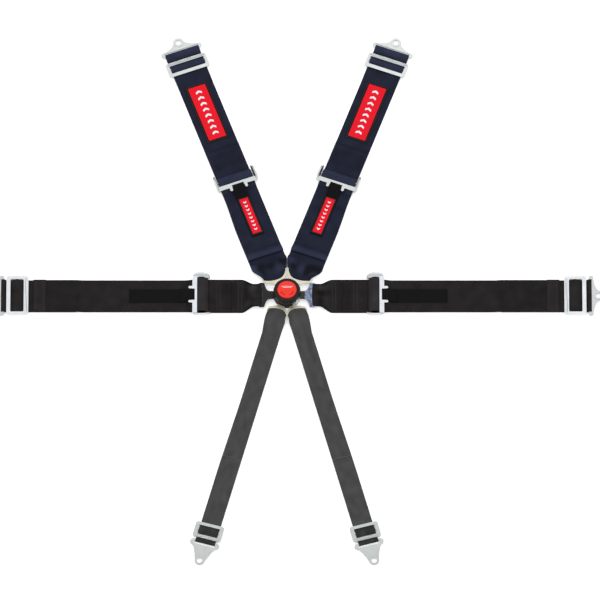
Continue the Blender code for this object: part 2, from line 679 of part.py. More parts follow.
# ------------------------------------------------------------------ belts
def make_shoulder(side):
    """Shoulder belt: inner strap from the tongue to the adjuster and back, outer strap to the anchor."""
    sign = 1 if side == "left" else -1
    name = "shoulder_" + side
    frame = belt_frame(sign * SHOULDER_ANGLE, -sign * SHOULDER_SHIFT)
    tongue = belt_frame(sign * SHOULDER_TONGUE_ANGLE)
    pivot = pivot_at(name + "_belt", tongue, (0, TONGUES["shoulder"][1], TONGUE_Z))
    make_tongue(name, sign * SHOULDER_TONGUE_ANGLE, pivot)

    bar = SHOULDER_FIXED_BAR - SLIDING_BAR_A
    stations = tongue_loop("shoulder", frame, tongue, WIDE, 0.7)
    hem = arc((HEM[0], (PLY_2 + PLY_3) / 2), (PLY_3 - PLY_2) / 2, -90, -270, 6)
    path = sliding_bar_loop(bar, -1) + [(HEM[0] + 30, PLY_2)] + hem + [(HEM[1], PLY_3)]
    stations += band([(GATHER_END + 60, PLY_1)] + path, WIDE)
    add_object(name + "_inner_strap", *strip(stations, WEB), "webbing_navy", frame, pivot)

    path = [(PLY_END, PLY_2), (SHOULDER_FIXED_BAR + 30, PLY_2)] + fixed_bar_loop(SHOULDER_FIXED_BAR, -1)
    path += [(SHOULDER_FIXED_BAR + 20, PLY_1)]
    near = SLIDES["shoulder"][0]
    path += [(near - 36, PLY_1), (near - 25, PLY_2)] + anchor_loop("shoulder") + [(near - 22, PLY_1)]
    add_object(name + "_outer_strap", *strip(band(path, WIDE), WEB), "webbing_navy", frame, pivot)

    low, high, half = LABEL
    top = PLY_1 + WEB / 2 + 0.3
    add_object(name + "_label", *block((-half, half), (low, high), (top, top + 0.8)), "label_red", frame, pivot)
    make_adjuster(name, SHOULDER_FIXED_BAR, -1, frame, pivot)
    finish_anchor(name, 0.0, frame, pivot)


def make_lap(side):
    """Lap belt: inner strap sewn between tongue and adjuster, outer strap with its tail on top."""
    sign = 1 if side == "left" else -1
    name = "lap_" + side
    frame = belt_frame(sign * LAP_ANGLE)
    shift = LAP_SHORTENED[side]
    fixed = LAP_FIXED_BAR[side]
    pivot = None if side == "left" else pivot_at(name + "_belt", frame, (0, TONGUES["lap"][1], TONGUE_Z))
    make_tongue(name, sign * LAP_ANGLE, pivot)

    stations = [(Vector((0, LAP_MIDDLE, PLY_2)), Vector((1, 0, 0)), WIDE)]
    stations += tongue_loop("lap", frame, frame, WIDE, 1.0)
    path = [(fixed - 20, PLY_1)] + fixed_bar_loop(fixed, 1)[::-1] + [(fixed - 28, PLY_2), (LAP_MIDDLE + 0.4, PLY_2)]
    stations += band(path, WIDE)
    add_object(name + "_inner_strap", *strip(stations, WEB), "webbing_black", frame, pivot)

    bar = fixed + SLIDING_BAR_A
    start, end = LAP_HEM[0] - shift, LAP_HEM[1] - shift
    fold = LAP_FOLD_END - (7 if side == "left" else 0)
    ply_4 = PLY_3 + WEB + GAP
    hem = arc((end, (PLY_3 + ply_4) / 2), (ply_4 - PLY_3) / 2, 90, -90, 6)
    path = [(start, ply_4)] + hem + [(fold + 2, PLY_3), (fold - 10, PLY_2), (bar + 60, PLY_2)]
    path += sliding_bar_loop(bar, 1)[::-1]
    path += [(bar + 60, PLY_1), (fold - 12, PLY_1), (fold - 1, PLY_2)]
    path += anchor_loop("lap", shift) + [(fold + 2, PLY_1)]
    add_object(name + "_outer_strap", *strip(band(path, WIDE), WEB), "webbing_black", frame, pivot)
    make_adjuster(name, fixed, 1, frame, pivot)
    finish_anchor(name, shift, frame, pivot)


def make_crotch(side):
    """Crotch belt: one strap from the tongue through the slide and anchor tab and back on top."""
    sign = 1 if side == "left" else -1
    name = "crotch_" + side
    frame = belt_frame(sign * CROTCH_ANGLE, -sign * CROTCH_SHIFT)
    tongue = belt_frame(sign * CROTCH_TONGUE_ANGLE)
    pivot = pivot_at(name + "_belt", tongue, (0, TONGUES["crotch"][1], TONGUE_Z))
    make_tongue(name, sign * CROTCH_TONGUE_ANGLE, pivot)
    stations = tongue_loop("crotch", frame, tongue, NARROW, 0.9)
    path = anchor_loop("crotch")[::-1] + [(CROTCH_CUT_END, PLY_2)]
    stations += band([(CROTCH_CUT_END, PLY_1)] + path, NARROW)
    add_object(name + "_strap", *strip(stations, WEB), "webbing_grey", frame, pivot)
    finish_anchor(name, 0.0, frame, pivot)


def finish_anchor(name, shift, frame, pivot):
    """Slide and anchor tab at the far end of a belt."""
    before = set(bpy.data.objects)
    make_slide(name, shift, frame)
    make_anchor(name, shift, frame)
    for thing in set(bpy.data.objects) - before:
        if thing.parent is None:
            reparent(thing, pivot)


def main():
    for thing in list(bpy.data.objects):
        bpy.data.objects.remove(thing, do_unlink=True)
    make_buckle()
    for side in ("left", "right"):
        make_shoulder(side)
        make_lap(side)
        make_crotch(side)
    bpy.context.view_layer.update()


main()
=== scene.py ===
"""Looks of the six-point racing harness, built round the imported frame.

Lengths in the belts' own frames are millimetres: x across the belt, y along it away from the buckle.
"""
import json
import math

import bmesh
import bpy
from mathutils import Matrix, Vector, noise
from mathutils.geometry import tessellate_polygon


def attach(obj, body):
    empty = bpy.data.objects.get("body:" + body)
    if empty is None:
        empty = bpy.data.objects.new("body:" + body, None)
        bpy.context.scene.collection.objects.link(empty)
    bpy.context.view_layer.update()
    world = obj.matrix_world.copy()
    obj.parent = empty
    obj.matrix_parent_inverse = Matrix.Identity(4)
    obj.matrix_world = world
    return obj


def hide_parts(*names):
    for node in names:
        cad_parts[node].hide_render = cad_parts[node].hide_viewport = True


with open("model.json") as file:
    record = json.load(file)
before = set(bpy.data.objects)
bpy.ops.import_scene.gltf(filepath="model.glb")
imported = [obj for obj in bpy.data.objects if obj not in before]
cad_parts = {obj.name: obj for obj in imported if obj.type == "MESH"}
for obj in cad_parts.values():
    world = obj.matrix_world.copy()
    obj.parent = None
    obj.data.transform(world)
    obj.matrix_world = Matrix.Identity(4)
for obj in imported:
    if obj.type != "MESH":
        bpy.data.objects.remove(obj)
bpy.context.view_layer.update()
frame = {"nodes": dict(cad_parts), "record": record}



def by_kind(*values):
    return dict(zip(("shoulder", "lap", "crotch"), values))


MM = 0.001
GAP = 0.35  # clearance between plies, and round the bars
WEB = 1.4  # webbing thickness
WIDE, NARROW = 38.0, 21.5  # half widths of the webbing
PLY = [0.3 + WEB / 2 + i * (WEB + GAP) for i in range(4)]  # centre heights of stacked plies
# belt angle, shift of its axis, tongue angle
BELTS = by_kind((20.2, 7.3, 31.0), (90.0, 0.0, 90.0), (164.6, 10.0, 154.5))
TONGUE_Z, TONGUE_T, TONGUE_TIP = 6.5, 2.5, 16.8
# half width of the neck, distance of the slot, half width of the plate
TONGUES = by_kind((9.0, 51.0, 27.0), (9.0, 50.0, 27.0), (8.0, 48.0, 21.5))
TONGUE_SLOT, TONGUE_BAR = 5.0, 4.0
SLOT_EDGE = 3.1  # how far the slot's inner edge moves out to meet the webbing
# webbing's half widths at the tongue (inner, outer), how far the slot moves in, its bow and the bow's apex
MOUTHS = by_kind((28.5, 24.0, 0.0, 12.0, 9.0), (26.0, 26.0, -1.5, 1.5, 0.0), (20.5, 20.8, 5.0, 9.0, 6.0))
# where the webbing widens, on its inner and outer side
SPREAD = by_kind(((0.0, 0.2), (0.0, 0.65)), ((0.2, 1.0), (0.2, 1.0)), ((0.0, 0.3), (0.0, 0.3)))
# extra half widths past the tongue
FLARE = by_kind((0.0, 4.0), (1.9, 1.9), (0.0, -3.0))
INNER_EDGE = {"shoulder": 2.8, "crotch": 0.4}  # how far a paired belt's inner edge leans in at its tongue
MIDDLE = 0.85  # least distance of a paired belt from the middle line
SQUEEZE = 1.0  # width over which the webbing crowds up against that line
LOOP_R = 2.8 + WEB / 2
FIXED_BAR = {"shoulder_left": 303.0, "shoulder_right": 303.0, "lap_left": 181.5, "lap_right": 187.0}
FIXED_BAR_Z = 7.0
SLIDING_BAR = (13.0, 4.5)  # distance from the fixed bar, height
BAR_R = 2.5
EAR = (40.5, 44.4)  # inner and outer side of an adjuster's ear
GATHER_END = 98.0  # where a belt has reached its full width
SHORTENED = {"lap_left": 40.0}  # the left lap belt is pulled in further
# near and far end, half width of the slide, half width of its window
SLIDES = by_kind((583.0, 617.0, 45.5, 39.4), (593.5, 640.5, 46.5, 39.4), (570.5, 607.0, 30.7, 23.0))
SLIDE_NEAR, SLIDE_FAR = 6.0, 5.0
SLIDE_Z = (3.8, 6.8)
# widths of the slides' bars as drawn
SLIDE_LOOKS = by_kind((8.0, 7.5), (10.0, 8.5), (7.0, 7.5))
# bar, bolt eye, half widths of tab and slot, slot's end, radius at the eye, where the webbing leaves the bar
ANCHORS = by_kind((636.0, 659.0, 46.0, 39.2, 6.6, 11.5, 108.0), (647.5, 666.5, 48.5, 39.2, 5.6, 12.0, 130.0),
                  (613.5, 659.0, 32.0, 22.6, 9.0, 10.5, 130.0))
ANCHOR_Z = 4.5
TAB_AXIS = (19.8, 11.2)  # where a pull tab loops round the adjuster's plate
TAB_T = 1.2
TAB_LOOP_R = 1.85 + TAB_T / 2
TAB_Z = 4.4
PAINTED_CREASE_SHADE = (3.9, 0.9)  # height of the webbing's painted shade at its creases, and how far from it that painted shade fades
PAINTED_HIGHLIGHT_RISE = (4.4, 2.0)  # height from which webbing gets a painted highlight, and over how much it gains
DOME_TOP = 36.5
ARROW_R = 14.6  # radius of the arrows on the knob


# ---- materials
class Shader:
    """A material being built: its Principled shader and short calls to add nodes."""

    def __init__(self, name, colour, roughness, metallic=0.0, **sockets):
        self.material = bpy.data.materials.new(name)
        self.material.use_nodes = True
        self.tree = self.material.node_tree
        self.shader = self.tree.nodes["Principled BSDF"]
        self.put("Base Color", (*colour, 1.0))
        self.put("Roughness", roughness)
        self.put("Metallic", metallic)
        for key, value in sockets.items():
            self.put(key.replace("_", " "), value)

    def put(self, socket, value):
        self.shader.inputs[socket].default_value = value

    def node(self, kind, links=(), **settings):
        made = self.tree.nodes.new("ShaderNode" + kind)
        for key, value in settings.items():
            setattr(made, key, value)
        for socket, source in dict(links).items():
            if isinstance(source, (int, float, tuple)):
                made.inputs[socket].default_value = source
            else:
                self.tree.links.new(source, made.inputs[socket])
        return made

    def spot(self):
        return self.node("TexCoord").outputs["Object"]

    def weave(self):
        """The weave's coordinates, then the one across and the one along the belt."""
        uv = self.node("UVMap", uv_map="weave").outputs[0]
        split = self.node("SeparateXYZ", {0: uv})
        return uv, split.outputs[0], split.outputs[1]

    def math(self, operation, a, b=0.0):
        return self.node("Math", {0: a, 1: b}, operation=operation).outputs[0]

    def times(self, a, b):
        return self.math("MULTIPLY", a, b)

    def add(self, a, b):
        return self.math("ADD", a, b)

    def waves(self, source, length):
        return self.math("SINE", self.times(source, math.tau / length))

    def noise(self, vector, scale, detail, roughness=0.5):
        links = {"Vector": vector, "Scale": scale, "Detail": detail, "Roughness": roughness}
        return self.node("TexNoise", links).outputs[0]

    def bands(self, vector, scale, distortion, direction):
        links = {"Vector": vector, "Scale": scale, "Distortion": distortion}
        return self.node("TexWave", links, bands_direction=direction).outputs[1]

    def span(self, source, low, high, a=0.0, b=1.0):
        """Number from a to b as the source goes from low to high."""
        links = {"Value": source, "From Min": low, "From Max": high, "To Min": a, "To Max": b}
        return self.node("MapRange", links).outputs[0]

    def ramp(self, source, low, high, a, b):
        """Colour from a to b as the source goes from low to high."""
        return self.blend(self.span(source, low, high), (*a, 1.0), (*b, 1.0))

    def blend(self, weight, a, b):
        """Colour output between two colours or outputs."""
        return self.node("Mix", {0: weight, 6: a, 7: b}, data_type="RGBA").outputs[2]

    def tint(self, source, low, high, colour, dark, light):
        self.to("Base Color", self.ramp(source, low, high, shade(colour, dark), shade(colour, light)))

    def to(self, socket, source):
        self.tree.links.new(source, self.shader.inputs[socket])

    def bump(self, source, depth, strength=1.0):
        made = self.node("Bump", {"Height": source, "Distance": depth, "Strength": strength})
        self.to("Normal", made.outputs[0])


def shade(colour, factor):
    return tuple(min(1.0, c * factor) for c in colour)


def webbing_material(name, colour, rib, chevron, contrast):
    """Woven polyester: slanted ribs in chevron columns and thread noise, with the colour scaled by painted
    highlight on raised stretches, painted shade in creases and pleats, and random blotches.
    """
    s = Shader(name, colour, 0.8, Specular_IOR_Level=0.12)
    uv, u, v = s.weave()
    column = s.math("PINGPONG", u, chevron)
    ribs = s.math("SINE", s.add(s.times(v, math.tau / rib), s.times(column, math.tau / rib)))
    fine = s.noise(uv, 2.2, 3.0, 0.6)
    height = s.add(s.times(ribs, 0.5), s.times(s.waves(u, 0.9), 0.22))
    height = s.add(height, s.times(fine, 0.8))
    tone = s.add(s.times(height, 0.35), s.times(s.noise(uv, 0.035, 3.0), 1.3))
    woven = s.ramp(tone, 0.1, 1.5, shade(colour, 1.0 - contrast), shade(colour, 1.0 + contrast))
    # Base colour scaled per vertex: painted highlight and painted shade from the belt's shape, plus random
    # blotches.
    painted_light_and_tone = s.node("Attribute", attribute_name="painted_light_and_tone").outputs["Fac"]
    s.to("Base Color", s.node("VectorMath", {0: woven, 3: painted_light_and_tone}, operation="SCALE").outputs[0])
    s.to("Roughness", s.span(fine, 0.0, 1.0, 0.68, 0.9))
    s.bump(height, 0.00022, 0.9)
    return s.material


def ribbed_material(name, colour):
    """Cross-ribbed tape of the pull tabs."""
    s = Shader(name, colour, 0.8, Specular_IOR_Level=0.12)
    uv, u, v = s.weave()
    height = s.add(s.waves(v, 2.4), s.times(s.waves(u, 1.1), 0.25))
    tone = s.add(s.times(height, 0.3), s.noise(uv, 2.0, 3.0))
    s.tint(tone, 0.1, 1.2, colour, 0.55, 1.7)
    s.bump(height, 0.0004, 0.9)
    return s.material


def thread_material(name, colour):
    """Twisted sewing thread."""
    s = Shader(name, colour, 0.8, Specular_IOR_Level=0.2)
    twist = s.bands(s.spot(), 900.0, 1.0, "DIAGONAL")
    s.tint(twist, 0.0, 1.0, colour, 0.7, 1.25)
    s.bump(twist, 0.0001)
    return s.material


def label_material(name, colour):
    """Satin-woven label cloth with fine weft lines."""
    s = Shader(name, colour, 0.65, Specular_IOR_Level=0.12)
    place = s.spot()
    tone = s.add(s.times(s.bands(place, 330.0, 0.4, "Y"), 0.6), s.times(s.noise(place, 900.0, 2.0), 0.5))
    s.tint(tone, 0.1, 1.0, colour, 0.86, 1.08)
    s.bump(tone, 0.00012)
    return s.material


def metal_material(name, colour, roughness, grain, tone_shift):
    """Plated steel with fine directionless grain, smudges and brighter worn patches."""
    s = Shader(name, colour, roughness, 1.0)
    place = s.spot()
    broad = s.noise(place, 60.0, 3.0)
    s.to("Roughness", s.span(broad, 0.3, 0.7, roughness * 0.75, roughness * 1.3))
    s.tint(broad, 0.35, 0.7, colour, 1.0 - tone_shift, 1.0 + tone_shift)
    s.bump(s.noise(place, grain, 4.0, 0.65), 0.00005, 0.35)
    return s.material


def plastic_material(name, colour, roughness, texture):
    """Moulded plastic with a spark-eroded texture."""
    s = Shader(name, colour, roughness, Specular_IOR_Level=0.25)
    place = s.spot()
    broad = s.noise(place, 45.0, 3.0)
    s.tint(broad, 0.3, 0.7, colour, 0.93, 1.07)
    s.to("Roughness", s.span(broad, 0.0, 1.0, roughness * 0.85, roughness * 1.15))
    s.bump(s.noise(place, 1400.0, 2.0), texture, 0.6)
    return s.material


def housing_material(name, colour, bright):
    """Black gloss, with a painted highlight: bright chrome bands only on the lower right flank."""
    s = Shader(name, colour, 0.45, Specular_IOR_Level=0.12)
    split = s.node("SeparateXYZ", {0: s.spot()})
    angle = s.math("ARCTAN2", split.outputs[1], split.outputs[0])
    # Chrome only in bands on the lower right flank, as a painted highlight.
    window = s.span(s.math("ABSOLUTE", s.add(angle, 0.60)), 0.40, 0.60, 1.0, 0.0)
    bands = s.math("SINE", s.times(split.outputs[2], 1150.0))
    highlight_bands = s.times(window, s.math("GREATER_THAN", bands, -0.15))
    s.to("Metallic", highlight_bands)
    s.to("Base Color", s.ramp(highlight_bands, 0.0, 1.0, colour, bright))
    s.to("Roughness", s.span(highlight_bands, 0.0, 1.0, 0.45, 0.35))
    return s.material


def dipped_material(name, colour, dipped):
    """Mottled chrome plate, black on the neck that enters the housing."""
    s = Shader(name, colour, 0.18, 1.0)
    place = s.spot()
    plated = s.span(s.node("SeparateXYZ", {0: place}).outputs[1], 0.0375, 0.0385)
    mottle = s.noise(place, 150.0, 3.0, 0.6)
    mottled = s.ramp(mottle, 0.36, 0.64, shade(colour, 0.5), shade(colour, 1.6))
    s.to("Base Color", s.blend(plated, (*dipped, 1.0), mottled))
    s.to("Metallic", plated)
    s.to("Roughness", s.span(plated, 0.0, 1.0, 0.45, 0.18))
    s.bump(mottle, 0.0002, 0.4)
    return s.material


def floor_material():
    """White paper that glows a little, so that its far parts stay white."""
    s = Shader("floor", (0.93, 0.93, 0.93), 0.6, Emission_Color=(1.0, 1.0, 1.0, 1.0), Emission_Strength=0.35)
    s.to("Base Color", s.ramp(s.noise(s.spot(), 0.6, 2.0), 0.3, 0.7, (0.945,) * 3, (0.955,) * 3))
    return s.material


LOOKS = {
    "webbing_navy": (webbing_material, (0.012, 0.0145, 0.030), 2.6, 6.0, 0.35),
    "webbing_black": (webbing_material, (0.0150, 0.0130, 0.0135), 2.2, 4.0, 0.40),
    "webbing_grey": (webbing_material, (0.060, 0.060, 0.061), 1.8, 2.0, 0.12),
    "pull_tab_black": (ribbed_material, (0.0060, 0.0056, 0.0058)),
    "thread_dark": (thread_material, (0.003, 0.003, 0.004)),
    "thread_grey": (thread_material, (0.16, 0.16, 0.16)),
    "thread_light": (thread_material, (0.10, 0.088, 0.078)),
    "label_red": (label_material, (0.80, 0.006, 0.020)),
    "label_black": (label_material, (0.006, 0.006, 0.009)),
    "label_white": (label_material, (0.85, 0.85, 0.87)),
    "zinc_steel": (metal_material, (0.50, 0.525, 0.52), 0.36, 900.0, 0.08),
    "chrome": (metal_material, (0.70, 0.72, 0.75), 0.10, 500.0, 0.04),
    "blue_chrome": (dipped_material, (0.17, 0.20, 0.29), (0.007, 0.007, 0.008)),
    "tongue_steel": (metal_material, (0.62, 0.595, 0.49), 0.45, 800.0, 0.06),
    # The housing's last colour is the chrome of its painted highlight bands.
    "black_chrome": (housing_material, (0.006, 0.006, 0.007), (0.90, 0.91, 0.93)),
    "black_steel": (plastic_material, (0.006, 0.006, 0.006), 0.40, 0.00002),
    "black_plastic": (plastic_material, (0.006, 0.006, 0.006), 0.5, 0.00006),
    "red_plastic": (plastic_material, (0.86, 0.032, 0.018), 0.42, 0.00002),
    "spring_steel": (metal_material, (0.45, 0.45, 0.46), 0.3, 900.0, 0.1),
}
MATERIALS = {name: make(name, *values) for name, (make, *values) in LOOKS.items()}


# ---- placing pieces
def belt_frame(angle, shift=0.0):
    return Matrix.Translation((shift, 0, 0)) @ Matrix.Rotation(math.radians(angle), 4, "Z")


def belt_of(name):
    """Frames of a belt and of its tongue, and the body that they ride on."""
    kind, side = name.split("_")[:2]
    sign = 1 if side == "left" else -1
    angle, shift, tongue = BELTS[kind]
    body = "buckle" if name == "lap_left" else name + "_belt"
    return belt_frame(sign * angle, -sign * shift), belt_frame(sign * tongue), body


def adjuster_frame(name):
    """Frame at an adjuster's fixed bar; y runs towards the adjustable strap."""
    sign = 1 if name.startswith("lap") else -1
    belt = belt_of(name)[0]
    across = belt.to_3x3() @ Vector((sign, 0, 0))
    return (Matrix.Translation(belt @ Vector((0, FIXED_BAR[name], 0)))
            @ Matrix.Rotation(math.atan2(across.y, across.x), 4, "Z"))


def new_object(name, data):
    thing = bpy.data.objects.new(name, data)
    bpy.context.collection.objects.link(thing)
    return thing


def new_mesh(name, verts, faces):
    mesh = bpy.data.meshes.new(name)
    mesh.from_pydata([Vector(v) * MM for v in verts], [], faces)
    return mesh


def make_piece(name, verts, faces, material, body, place=Matrix(), nodes=(), uvs=None, smooth=True):
    """Object from vertices in millimetres in a local frame, riding on a body."""
    mesh = new_mesh(name, verts, faces)
    mesh.materials.append(MATERIALS[material])
    if uvs:
        layer = mesh.uv_layers.new(name="weave")
        for loop in mesh.loops:
            layer.data[loop.index].uv = uvs[loop.vertex_index]
    if smooth:
        mesh.shade_smooth()
    thing = new_object(name, mesh)
    spot = place.copy()
    spot.translation = place.translation * MM
    thing.matrix_world = spot
    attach(thing, body)
    if nodes:
        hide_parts(*nodes)
    return thing


def recalc(thing):
    """Turns every face outwards."""
    work = bmesh.new()
    work.from_mesh(thing.data)
    bmesh.ops.recalc_face_normals(work, faces=work.faces)
    work.to_mesh(thing.data)
    work.free()


def thicken(thing, name, thickness):
    """Gives a sheet its thickness, half on each side."""
    solid = thing.modifiers.new(name, "SOLIDIFY")
    solid.thickness = thickness * MM
    solid.offset = 0.0


def bevel(thing, name, width, segments, angle):
    rounding = thing.modifiers.new(name, "BEVEL")
    rounding.width = width * MM
    rounding.segments = segments
    rounding.limit_method = "ANGLE"
    rounding.angle_limit = math.radians(angle)


def hard_piece(name, shape, material, body, place, nodes, width, segments):
    """Piece with its edges rounded and its flat faces kept flat."""
    thing = make_piece(name, *shape, material, body, place, nodes, smooth=False)
    recalc(thing)
    bevel(thing, "edges", width, segments, 35)
    thing.data.set_sharp_from_angle(angle=math.radians(50))
    thing.modifiers.new("normals", "WEIGHTED_NORMAL")


# ---- curves and solids
def arc(centre, radius, start, end, steps):
    angles = [math.radians(start + (end - start) * i / steps) for i in range(steps + 1)]
    return [(centre[0] + radius * math.cos(a), centre[1] + radius * math.sin(a)) for a in angles]


def cubic(u):
    """Weights of the four points of a Bezier curve."""
    return (1 - u) ** 3, 3 * u * (1 - u) ** 2, 3 * u * u * (1 - u), u ** 3


def bezier(points, steps):
    """Points inside a Bezier curve, without its ends."""
    return [tuple(sum(w * p[k] for w, p in zip(cubic(i / steps), points)) for k in (0, 1))
            for i in range(1, steps)]


def mirrored(half):
    return half + [(-x, y) for x, y in reversed(half) if x > 1e-6]


def rounded_box(half, low, high, radius, steps=8):
    right = arc((half - radius, low + radius), radius, -90, 0, steps)
    return mirrored(right + arc((half - radius, high - radius), radius, 0, 90, steps))


def circle(centre, radius, steps=48):
    return arc(centre, radius, 0, 360 * (steps - 1) / steps, steps - 1)


def ease(u):
    u = min(max(u, 0.0), 1.0)
    return u * u * (3 - 2 * u)


def mix(a, b, u):
    return a + (b - a) * u


def plate(outline, holes, low, high):
    loops = [outline] + list(holes)
    flat = [point for loop in loops for point in loop]
    count = len(flat)
    verts = [(x, y, low) for x, y in flat] + [(x, y, high) for x, y in flat]
    triangles = tessellate_polygon([[Vector((x, y, 0)) for x, y in loop] for loop in loops])
    faces = [tuple(t) for t in triangles] + [tuple(i + count for i in t) for t in triangles]
    start = 0
    for loop in loops:
        size = len(loop)
        for i in range(size):
            a, b = start + i, start + (i + 1) % size
            faces.append((a, b, b + count, a + count))
        start += size
    return verts, faces


def turned(profile, steps=96, lobes=None):
    verts, rings = [], []
    for r, z in profile:
        if r == 0:
            rings.append([len(verts)] * steps)
            verts.append((0, 0, z))
            continue
        rings.append(list(range(len(verts), len(verts) + steps)))
        for i in range(steps):
            angle = math.tau * i / steps
            radius = lobes(r, angle) if lobes else r
            verts.append((radius * math.cos(angle), radius * math.sin(angle), z))
    faces = []
    for k, ring in enumerate(rings):
        following = rings[(k + 1) % len(rings)]
        for i in range(steps):
            j = (i + 1) % steps
            corners = list(dict.fromkeys((ring[i], ring[j], following[j], following[i])))
            if len(corners) > 2:
                faces.append(corners)
    return verts, faces


def grid_faces(rows, wide, base=0, closed=False):
    """Faces between rows of vertices; closed rows join their two ends."""
    faces = []
    for i in range(rows - 1):
        for k in range(wide if closed else wide - 1):
            a, b = base + i * wide + k, base + i * wide + (k + 1) % wide
            faces.append((a, b, b + wide, a + wide))
    return faces


def twisted_rod(half, radius, pitch, depth, starts, steps=48):
    """Round bar along x with helical knurling, and domed ends."""
    verts = []
    count = int(2 * half / 0.55)
    rows = [(-half - radius * 0.35, 0.45), (-half - radius * 0.2, 0.8)]
    rows += [(-half + 2 * half * i / count, 1.0) for i in range(count + 1)]
    rows += [(half + radius * 0.2, 0.8), (half + radius * 0.35, 0.45)]
    for x, scale in rows:
        for k in range(steps):
            angle = math.tau * k / steps
            ridge = math.cos(starts * angle + math.tau * x / pitch)
            r = scale * (radius - depth * 0.5 + depth * 0.5 * max(-0.4, ridge))
            verts.append((x, r * math.cos(angle), r * math.sin(angle)))
    caps = [list(range(steps)), list(range(len(verts) - steps, len(verts)))]
    return verts, grid_faces(len(rows), steps, closed=True) + caps


# ---- webbing
def smooth_path(points, step=1.3, rounds=6, longest=9.0):
    """Even, rounded version of a belt's path; straight stretches keep few stations."""
    dense = [Vector(points[0])]
    for a, b in zip(points, points[1:]):
        a, b = Vector(a), Vector(b)
        pieces = max(1, math.ceil((b - a).length / step))
        dense += [a.lerp(b, i / pieces) for i in range(1, pieces + 1)]
    for _ in range(rounds):
        inner = [dense[i].lerp((dense[i - 1] + dense[i + 1]) / 2, 0.5) for i in range(1, len(dense) - 1)]
        dense = [dense[0]] + inner + [dense[-1]]
    kept = [dense[0]]
    for i in range(1, len(dense) - 1):
        ahead = dense[i + 1] - dense[i]
        behind = dense[i] - kept[-1]
        bent = ahead.length > 1e-6 and behind.length > 0.8 and behind.angle(ahead) > 0.045
        if behind.length > longest or bent:
            kept.append(dense[i])
    kept.append(dense[-1])
    return kept


def keep_side(place, side, point):
    """Moves a point, given in a belt's frame, back to its own side of the middle line."""
    world = place @ point
    reach = side * world.x
    if reach < MIDDLE + SQUEEZE:
        world.x = side * (MIDDLE + SQUEEZE * math.exp((reach - MIDDLE - SQUEEZE) / SQUEEZE))
        return place.inverted() @ world
    return point


def belt(name, stations, full, material, body, place, node, thickness=WEB, lanes=24, wave=0.25, seed=1.0,
         side=0, painted_light=0.9):
    """Sheet of webbing through stations, given its thickness.

    A station is (centre, across, half widths, bow, pleat): the bow moves the middle of the
    belt, and the pleat lifts it into soft folds. Raised stretches get a painted highlight of a given
    strength (a negative one gives painted shade), creases get painted shade, and pleats get painted
    shade in their valleys and painted highlight on their ridges.
    """
    verts, uvs, painted_light_and_tone = [], [], []
    length = 0.0
    for i, (centre, across, halves, bow, pleat) in enumerate(stations):
        before = stations[max(i - 1, 0)][0]
        after = stations[min(i + 1, len(stations) - 1)][0]
        normal = across.cross(after - before).normalized()
        if i:
            length += (centre - before).length
        for k in range(lanes + 1):
            u = -1 + 2 * k / lanes
            x = u * halves[1 if u > 0 else 0]
            swell = noise.noise(Vector((length * 0.012 + seed * 7, u * 0.8, seed)))
            ripple = wave * max(0.0, swell) * abs(normal.z)
            fold = 0.55 + 0.45 * math.cos(5.2 * u + seed) + 0.35 * math.cos(9.0 * u - 2 * seed)
            spot = centre + across * x + bow(u) + Vector((0, 0, ripple + pleat * max(0.0, fold)))
            verts.append(keep_side(place, side, spot) if side else spot)
            uvs.append((u * full, length))
            blotch = noise.noise(Vector((length * 0.05, u * 1.6, seed * 3)))
            # Painted light in the colour: painted highlight on raised stretches and painted shade at crease
            # height; on pleats, painted shade in the valleys and painted highlight on the ridges. The
            # blotches are random tone.
            if bow is no_bow:
                painted_crease_shade = max(0.0, 1.0 - abs(spot.z - PAINTED_CREASE_SHADE[0]) / PAINTED_CREASE_SHADE[1])
                tone_shift = painted_light * ease((spot.z - PAINTED_HIGHLIGHT_RISE[0]) / PAINTED_HIGHLIGHT_RISE[1]) - 0.5 * painted_crease_shade
            else:
                tone_shift = pleat * (0.42 * max(-0.5, fold - 0.6) + 0.55 * blotch)
            painted_light_and_tone.append(max(0.35, 1.0 + tone_shift + 0.3 * blotch))
    faces = grid_faces(len(stations), lanes + 1)
    thing = make_piece(name, verts, faces, material, body, place, [node] if node else (), uvs)
    layer = thing.data.attributes.new("painted_light_and_tone", "FLOAT", "POINT")
    layer.data.foreach_set("value", painted_light_and_tone)
    thicken(thing, "thickness", thickness)
    bevel(thing, "selvedge", thickness * 0.36, 2, 60)


def no_bow(u):
    return Vector()


def bow_shape(kind, x):
    """Share of the bow at x, counted towards the belt's inner side."""
    inner, outer, _, _, apex = MOUTHS[kind]
    off = (x - apex) / (inner - apex) if x > apex else (apex - x) / (outer + apex)
    return 1.0 - min(abs(off), 1.15) ** 2


def flat_station(point, halves):
    return Vector((0, point[0], point[1])), Vector((1, 0, 0)), halves, no_bow, 0.0


def band(path, half, flares=(0.0, 0.0), fade=(1.0, 2.0)):
    """Stations along a straight belt, wider by flares that fade out along it."""
    stations = []
    for p in smooth_path(path):
        share = 1 - ease((p[0] - fade[0]) / (fade[1] - fade[0]))
        stations.append(flat_station(p, [half + flare * share for flare in flares]))
    return stations


